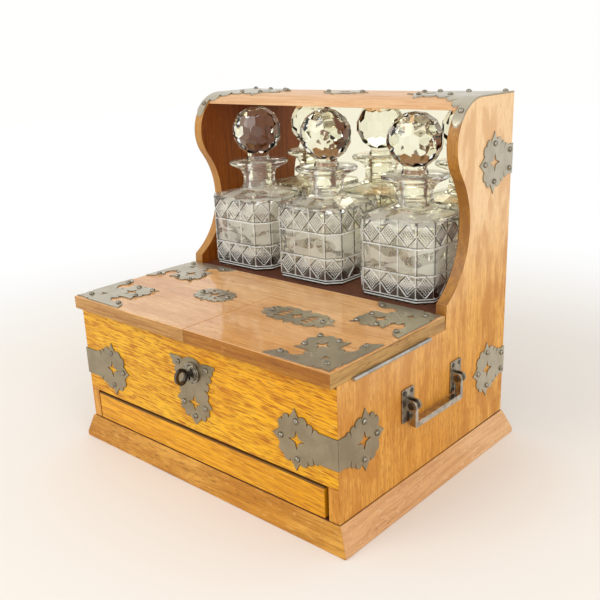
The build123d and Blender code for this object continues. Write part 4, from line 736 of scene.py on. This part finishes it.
def panelCuts(width, columns, look):
    # one upright face of the body laid flat, cut along every groove; gives (x, height, depth) points, faces
    # and their finishes: 0 plain, 1 and 3 the flanks of a groove, 2 and 4 the flanks of the fine hatching,
    # with 1 and 2 painted lit and 3 and 4 painted shaded
    work = bmesh.new()
    low, high = look["bodyLow"], look["bodyHigh"]
    work.faces.new([work.verts.new((x, z, 0)) for x, z in ((0, low), (width, low), (width, high), (0, high))])
    cell = width / columns

    def cut(point, across, inside=None):
        faces = [face for face in work.faces if inside is None or inside(face.calc_center_median())]
        edges = {edge for face in faces for edge in face.edges}
        verts = {vert for face in faces for vert in face.verts}
        parts = [*faces, *edges, *verts]
        bmesh.ops.bisect_plane(work, geom=parts, dist=hair, plane_co=(*point, 0), plane_no=(*across, 0))

    def halfAt(k):
        # half the width of an upright groove; the two at the corners differ
        return look["cornerHalf" if k in (0, columns) else "columnHalf"]

    for level in (look["cutLow"], look["cutHigh"]):
        cut((0, level), (0, 1))
    rings = [look["bands"][0][1], look["bands"][1][0]]
    for ring in rings:
        for shift in (-1, 0, 1):
            cut((0, ring + shift * look["ringHalf"]), (0, 1))
    for k in range(columns + 1):
        for shift in (-1, 0, 1):
            if 0 < k * cell + shift * halfAt(k) < width:
                cut((k * cell + shift * halfAt(k), 0), (1, 0))
    strips = look["strips"] * columns
    for k in range(1, strips):
        for uncut in (lambda spot: spot.y > look["cutHigh"], lambda spot: spot.y < look["cutLow"]):
            cut((k * width / strips, 0), (1, 0), uncut)

    def skew(x, z, base, rise):
        # the two diagonal coordinates of a band, whole numbers and a half on the grooves
        return x / cell - (z - base) / rise, x / cell + (z - base) / rise

    for base, top in look["bands"]:
        rise = top - base
        for k in range(-2, columns + 2):
            for shift in (-1, 0, 1):
                offset = (k + 0.5) * rise + shift * look["diagonalRise"]
                for lean in (-cell, cell):
                    cut((offset * cell / rise, base), (rise, lean), lambda spot: base < spot.y < top)

    def inDiamond(x, z, slack):
        for base, top in look["bands"]:
            if base <= z <= top:
                rise = top - base
                rim = look["diagonalRise"] / rise - slack
                column = min(max(math.floor(x / cell), 0), columns - 1)
                falling, rising = skew(x, z, base, rise)
                return rim < falling - column + 0.5 < 1 - rim and rim < rising - column - 0.5 < 1 - rim
        return False

    for base, top in look["bands"]:
        rise = top - base
        for column in range(columns):
            left, right = column * cell, (column + 1) * cell
            span = rise - 2 * look["diagonalRise"]
            for j in range(1, look["hatches"]):
                step = look["diagonalRise"] + j * span / look["hatches"]
                for start, lean in (((column - 0.5) * rise, -cell), ((column + 0.5) * rise, cell)):
                    cut(((start + step) * cell / rise, base), (rise, lean), lambda spot: (
                        base < spot.y < top and left < spot.x < right and inDiamond(spot.x, spot.y, 0)))
    fields = [face for face in work.faces if inDiamond(*face.calc_center_median()[:2], 0)]
    tips = set(bmesh.ops.poke(work, faces=fields)["verts"])

    def grooveDepth(x, z):
        # the depth of the deepest groove at a point, each one a V
        depth = 0
        if look["cutLow"] - hair <= z <= look["cutHigh"] + hair:
            for k in range(columns + 1):
                depth = max(depth, look["columnDepth"] * (1 - abs(x - k * cell) / halfAt(k)))
            for ring in rings:
                depth = max(depth, look["ringDepth"] * (1 - abs(z - ring) / look["ringHalf"]))
            for base, top in look["bands"]:
                if base + hair < z < top - hair:
                    for value in skew(x, z, base, top - base):
                        gap = abs(value % 1 - 0.5) * (top - base)
                        depth = max(depth, look["diagonalDepth"] * (1 - gap / look["diagonalRise"]))
        return depth

    points, kinds = [], []
    for vert in work.verts:
        x, z = vert.co.x, vert.co.y
        depth = grooveDepth(x, z)
        if vert in tips:
            depth = look["tipDepth"]
        elif inDiamond(x, z, near):
            depth = max(depth, look["hatchDepth"])
        points.append((x, z, depth))
    work.verts.index_update()
    faces = [[vert.index for vert in face.verts] for face in work.faces]
    for face, spots in zip(work.faces, faces):
        facing = Vector((0, 0, 0))
        laid = [Vector((x, z, -depth)) for x, z, depth in (points[index] for index in spots)]
        for one, two in zip(laid, laid[1:] + laid[:1]):
            facing += one.cross(two)
        facing.normalize()
        facing *= 1 if facing.z > 0 else -1
        if inDiamond(*face.calc_center_median()[:2], 0):
            # the tiny pyramids are painted lit on the faces that lean one way and painted shaded on those
            # that lean the other
            lean = facing.x + facing.y
            kinds.append(2 if lean > look["hatchLean"] else 4 if lean < -look["hatchLean"] else 0)
        # a groove's flank is painted lit where it faces up and painted shaded where it faces down
        elif max(points[index][2] for index in spots) > look["plainDepth"]:
            kinds.append(1 if facing.y + look["flankLean"] * facing.x > 0 else 3)
        else:
            kinds.append(0)
    work.free()
    return points, faces, kinds


def squareCorners(half, cant):
    # a square with its corners cut off, from the left end of the front flat, anticlockwise
    reach = half - cant
    return [Vector(corner) for corner in (
        (-reach, -half), (reach, -half), (half, -reach), (half, reach),
        (reach, half), (-reach, half), (-half, reach), (-half, -reach),
    )]


def decanterMesh(look):
    # eight cut sides, closed below by a stepped foot and above by shoulders, neck, lip and the hollow inside
    work = bmesh.new()
    corners = squareCorners(look["half"], look["cant"])
    runs = [corners[(side + 1) % 8] - corners[side] for side in range(8)]
    normals = [Vector((run.y, -run.x)).normalized() for run in runs]
    flat = panelCuts(runs[0].length, look["columns"], look)
    cant = panelCuts(runs[1].length, 1, look)
    for side in range(8):
        points, faces, kinds = cant if side % 2 else flat
        start, run, outward = corners[side], runs[side], normals[side]
        made = []
        for x, z, depth in points:
            share = x / run.length
            inward = outward
            for edge, beside in ((0, side - 1), (1, (side + 1) % 8)):
                if abs(share - edge) < atEnd:
                    inward = (outward + normals[beside]) / (1 + outward.dot(normals[beside]))
            spot = start + run * share - inward * depth
            made.append(work.verts.new((spot.x, spot.y, z)))
        for face, kind in zip(faces, kinds):
            work.faces.new([made[index] for index in face]).material_index = kind
    bmesh.ops.remove_doubles(work, verts=work.verts, dist=2 * near)
    bmesh.ops.delete(work, geom=[edge for edge in work.edges if not edge.link_faces], context="EDGES")

    def offSide(spot, side):
        # how far a spot lies off one of the eight sides, and very far where it is past that side's ends
        along = (spot - corners[side]).dot(runs[side].normalized())
        past = not -near <= along < runs[side].length - near
        return abs((spot - corners[side]).dot(normals[side])) + farOff * past

    def loopAt(height):
        # the open edge at this height: its points in order, each with its side's number plus its share of it
        found = []
        for vert in work.verts:
            if abs(vert.co.z - height) < near:
                spot = vert.co.xy
                side = min(range(8), key=lambda k: offSide(spot, k))
                share = (spot - corners[side]).dot(runs[side]) / runs[side].length_squared
                found.append((side + share, vert))
        return sorted(found, key=lambda item: item[0])

    def outlineSpot(place, half, cant):
        ring = squareCorners(half, cant)
        side = int(place) % 8
        return ring[side].lerp(ring[(side + 1) % 8], place - int(place))

    def nextLoop(loop, spots, height, smooth, kind=0):
        # a band of faces from this loop to the next one
        fresh = [(item[0], work.verts.new((spot.x, spot.y, height))) for item, spot in zip(loop, spots)]
        count = len(loop)
        for k in range(count):
            beside = (k + 1) % count
            face = work.faces.new((loop[k][1], loop[beside][1], fresh[beside][1], fresh[k][1]))
            face.smooth, face.material_index = smooth, kind
        return fresh

    bottom = loopAt(look["bodyLow"])
    for height, half, kind in look["steps"]:
        spots = [outlineSpot(item[0], half, look["cant"]) for item in bottom]
        bottom = nextLoop(bottom, spots, height, False, kind)
    work.faces.new([item[1] for item in bottom])
    loop = loopAt(look["bodyHigh"])
    shoulder = [outlineSpot(item[0], look["shoulderHalf"], look["shoulderCant"]) for item in loop]
    loop = nextLoop(loop, shoulder, look["shoulderHigh"], False)
    for height, radius in look["neck"]:
        loop = nextLoop(loop, [spot.normalized() * radius for spot in shoulder], height, True)
    for height, half, cantHere in look["hollow"]:
        loop = nextLoop(loop, [outlineSpot(item[0], half, cantHere) for item in loop], height, True, 5)
    work.faces.new([item[1] for item in loop]).material_index = 5
    bmesh.ops.recalc_face_normals(work, faces=work.faces)
    sharpen(work, look["sharp"])
    mesh = bpy.data.meshes.new("decanterBody")
    work.to_mesh(mesh)
    openEdges = sum(1 for edge in work.edges if not edge.is_manifold)
    print("stage: decanter cut,", len(work.faces), "faces,", openEdges, "open edges")
    work.free()
    return mesh


# sizes in millimetres from the lip the stopper stands on: "rows" are tilt, number of flats and their turn as
# a share of one flat, and "stem" is radius and height
stopperLook = {
    "centre": 32.0, "reach": 26.1, "firstTurn": 0.2,
    "rows": (
        (0, 12, 0), (28, 12, 0.5), (-28, 12, 0.5), (53, 8, 0.25), (-53, 8, 0.25), (73, 4, 0), (-73, 4, 0),
    ),
    "stem": (
        (12.0, 8.6), (12.0, 7.4), (11.6, 5.6), (12.2, 3.4), (13.2, 1.6), (13.3, 0.6), (12.9, 0.05),
        (11.0, 0.05), (10.85, -0.9), (10.1, -21.0), (9.5, -21.6),
    ),
    "sides": 48, "sharp": 24, "turns": {"left": 0, "middle": 0.4, "right": 1.3},
}


def cutBall(look):
    # a ball made only of flats, each row of them turned against the next
    work = bmesh.new()
    bmesh.ops.create_cube(work, size=4 * look["reach"])
    facings = [Vector((0, 0, 1))]
    for tilt, count, turned in look["rows"]:
        rise = math.radians(tilt)
        for k in range(count):
            turn = math.tau * (k + turned) / count + look["firstTurn"]
            level = math.cos(rise)
            facings.append(Vector((level * math.cos(turn), level * math.sin(turn), math.sin(rise))))
    for facing in facings:
        parts = work.verts[:] + work.edges[:] + work.faces[:]
        bmesh.ops.bisect_plane(
            work, geom=parts, dist=hair, plane_co=facing * look["reach"], plane_no=facing, clear_outer=True)
        bmesh.ops.holes_fill(work, edges=[edge for edge in work.edges if edge.is_boundary])
    bmesh.ops.translate(work, verts=work.verts, vec=(0, 0, look["centre"]))
    return work


def turnedStem(look):
    # the short stem under the ball and the ground plug below it
    work = bmesh.new()
    sides = look["sides"]
    circle = [(math.cos(math.tau * k / sides), math.sin(math.tau * k / sides)) for k in range(sides)]
    rings = []
    for radius, height in look["stem"]:
        rings.append([work.verts.new((radius * x, radius * y, height)) for x, y in circle])
    for upper, lower in zip(rings, rings[1:]):
        for k in range(sides):
            beside = (k + 1) % sides
            work.faces.new((upper[k], lower[k], lower[beside], upper[beside])).smooth = True
    work.faces.new(rings[0])
    work.faces.new(list(reversed(rings[-1])))
    bmesh.ops.recalc_face_normals(work, faces=work.faces)
    return work


def stopperMesh(look):
    # the ball and the stem made one
    both = []
    for name, work in (("stopperBall", cutBall(look)), ("stopperStem", turnedStem(look))):
        mesh = bpy.data.meshes.new(name)
        work.to_mesh(mesh)
        work.free()
        both.append(addObject(name, mesh))
    join = both[0].modifiers.new("join", "BOOLEAN")
    join.operation, join.solver, join.object = "UNION", "EXACT", both[1]
    applyModifiers(both[0])
    mesh = both[0].data
    for piece in both:
        bpy.data.objects.remove(piece)
    work = bmesh.new()
    work.from_mesh(mesh)
    sharpen(work, look["sharp"])
    openEdges = sum(1 for edge in work.edges if not edge.is_manifold)
    print("stage: stopper cut,", len(work.faces), "faces,", openEdges, "open edges")
    work.to_mesh(mesh)
    work.free()
    return mesh


def standGlass(pieceName, nodeName, body, lift, turn, finishes):
    # a copy of the cut glass in its node's place
    low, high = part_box(nodeName)
    stand = Matrix.Translation(((low.x + high.x) / 2, (low.y + high.y) / 2, low.z + lift))
    mesh = body.copy()
    mesh.transform(stand @ Matrix.Rotation(turn, 4, "Z") @ Matrix.Scale(millimetre, 4))
    for key in finishes:
        mesh.materials.append(crystals[key])
    standFor(addObject(pieceName, mesh), nodeName)


decanterBody = decanterMesh(decanterLook)
stopperBody = stopperMesh(stopperLook)
plugLength = -stopperLook["stem"][-1][1] * millimetre
for place, turn in stopperLook["turns"].items():
    standGlass("decanterCut_" + place, "decanter_" + place, decanterBody, 0, 0, (
        "clear", "groove", "hatch", "groove_shaded", "hatch_shaded", "inside"))
    standGlass("stopperCut_" + place, "stopper_" + place, stopperBody, plugLength, turn, ("ball",))
print("stage: glass in place")

# the floor's finish, which fades into white between two distances from the middle, and the light all round
stageLook = {
    "floor": (0.92, 0.88, 0.82), "roughness": 0.9, "gloss": 0.1, "half": 4, "fade": (0.42, 0.95),
    "sky": (1, 0.995, 0.985), "world": 0.85, "backdrop": 1.0,
}
half = stageLook["half"]
floorMesh = bpy.data.meshes.new("floorSheet")
floorCorners = [(-half, -half, 0), (half, -half, 0), (half, half, 0), (-half, half, 0)]
floorMesh.from_pydata(floorCorners, [], [(0, 1, 2, 3)])
floor = addObject("floorSheet", floorMesh)
floorFinish, floorShader, floorPlace = startMaterial("floor_pale", {
    "Base Color": (*stageLook["floor"], 1), "Roughness": stageLook["roughness"],
    "Specular IOR Level": stageLook["gloss"]})
floorTree = floorFinish.node_tree


def seenRays(tree):
    # 1 for what the camera, metal and glass look at directly
    camera = Wire(tree).node("ShaderNodeLightPath", out="Is Camera Ray")
    return (camera + camera.beside("Is Glossy Ray") + camera.beside("Is Transmission Ray")).clamp()


# the floor runs out into white all round
reach = floorPlace.node("ShaderNodeVectorMath", {"operation": "LENGTH"}, {0: floorPlace}, "Value")
white = floorPlace.node("ShaderNodeEmission")
share = reach.band(*stageLook["fade"]) * seenRays(floorTree)
fadeOut = share.mixShader(Wire(floorTree, floorShader.outputs[0]), white)
floorTree.links.new(fadeOut.socket, floorTree.nodes["Material Output"].inputs["Surface"])
floorMesh.materials.append(floorFinish)
floor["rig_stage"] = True

world = bpy.data.worlds.new("studio")
bpy.context.scene.world = world
world.use_nodes = True
worldTree = world.node_tree
background = worldTree.nodes["Background"]
background.inputs["Color"].default_value = (*stageLook["sky"], 1)
level = seenRays(worldTree) * (stageLook["backdrop"] - stageLook["world"]) + stageLook["world"]
worldTree.links.new(level.socket, background.inputs["Strength"])

# square lamps that look at the middle of the tantalus
lampTarget = Vector((0, 0, 0.15))
lampLooks = {
    "keyLamp": {"place": (-0.6, -1.5, 1.5), "size": 1.0, "power": 9},
    "fillLamp": {"place": (1.6, -0.6, 0.9), "size": 1.0, "power": 6},
}
for name, look in lampLooks.items():
    lampData = bpy.data.lights.new(name, "AREA")
    lampData.shape, lampData.size, lampData.energy = "SQUARE", look["size"], look["power"]
    lamp = addObject(name, lampData)
    lamp.location = look["place"]
    lamp.rotation_euler = (lampTarget - Vector(look["place"])).to_track_quat("-Z", "Y").to_euler()

# metres, degrees, and millimetres for the lens and its sensor
cameraLook = {
    "place": (0.5265, -0.5666, 0.4009), "azimuth": 42.16, "elevation": 17.90, "roll": -2.22,
    "lens": 47.68, "sensor": 36,
}
azimuth, elevation, roll = (math.radians(cameraLook[key]) for key in ("azimuth", "elevation", "roll"))
level, rise = math.cos(elevation), math.sin(elevation)
back = Vector((math.sin(azimuth) * level, -math.cos(azimuth) * level, rise))
levelRight = Vector((math.cos(azimuth), math.sin(azimuth), 0))
levelUp = back.cross(levelRight)
right = math.cos(roll) * levelRight + math.sin(roll) * levelUp
up = -math.sin(roll) * levelRight + math.cos(roll) * levelUp
cameraData = bpy.data.cameras.new("photoView")
cameraData.lens, cameraData.sensor_width = cameraLook["lens"], cameraLook["sensor"]
camera = addObject("photoView", cameraData)
facing = Matrix((right, up, back)).transposed().to_4x4()
camera.matrix_world = Matrix.Translation(cameraLook["place"]) @ facing
bpy.context.scene.camera = camera
bpy.context.scene.view_settings.view_transform = "Standard"
print("stage: floor, light and camera")

sizes = {"cad": [list(corner) for corner in cadBox], "visual": [list(corner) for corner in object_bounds()]}
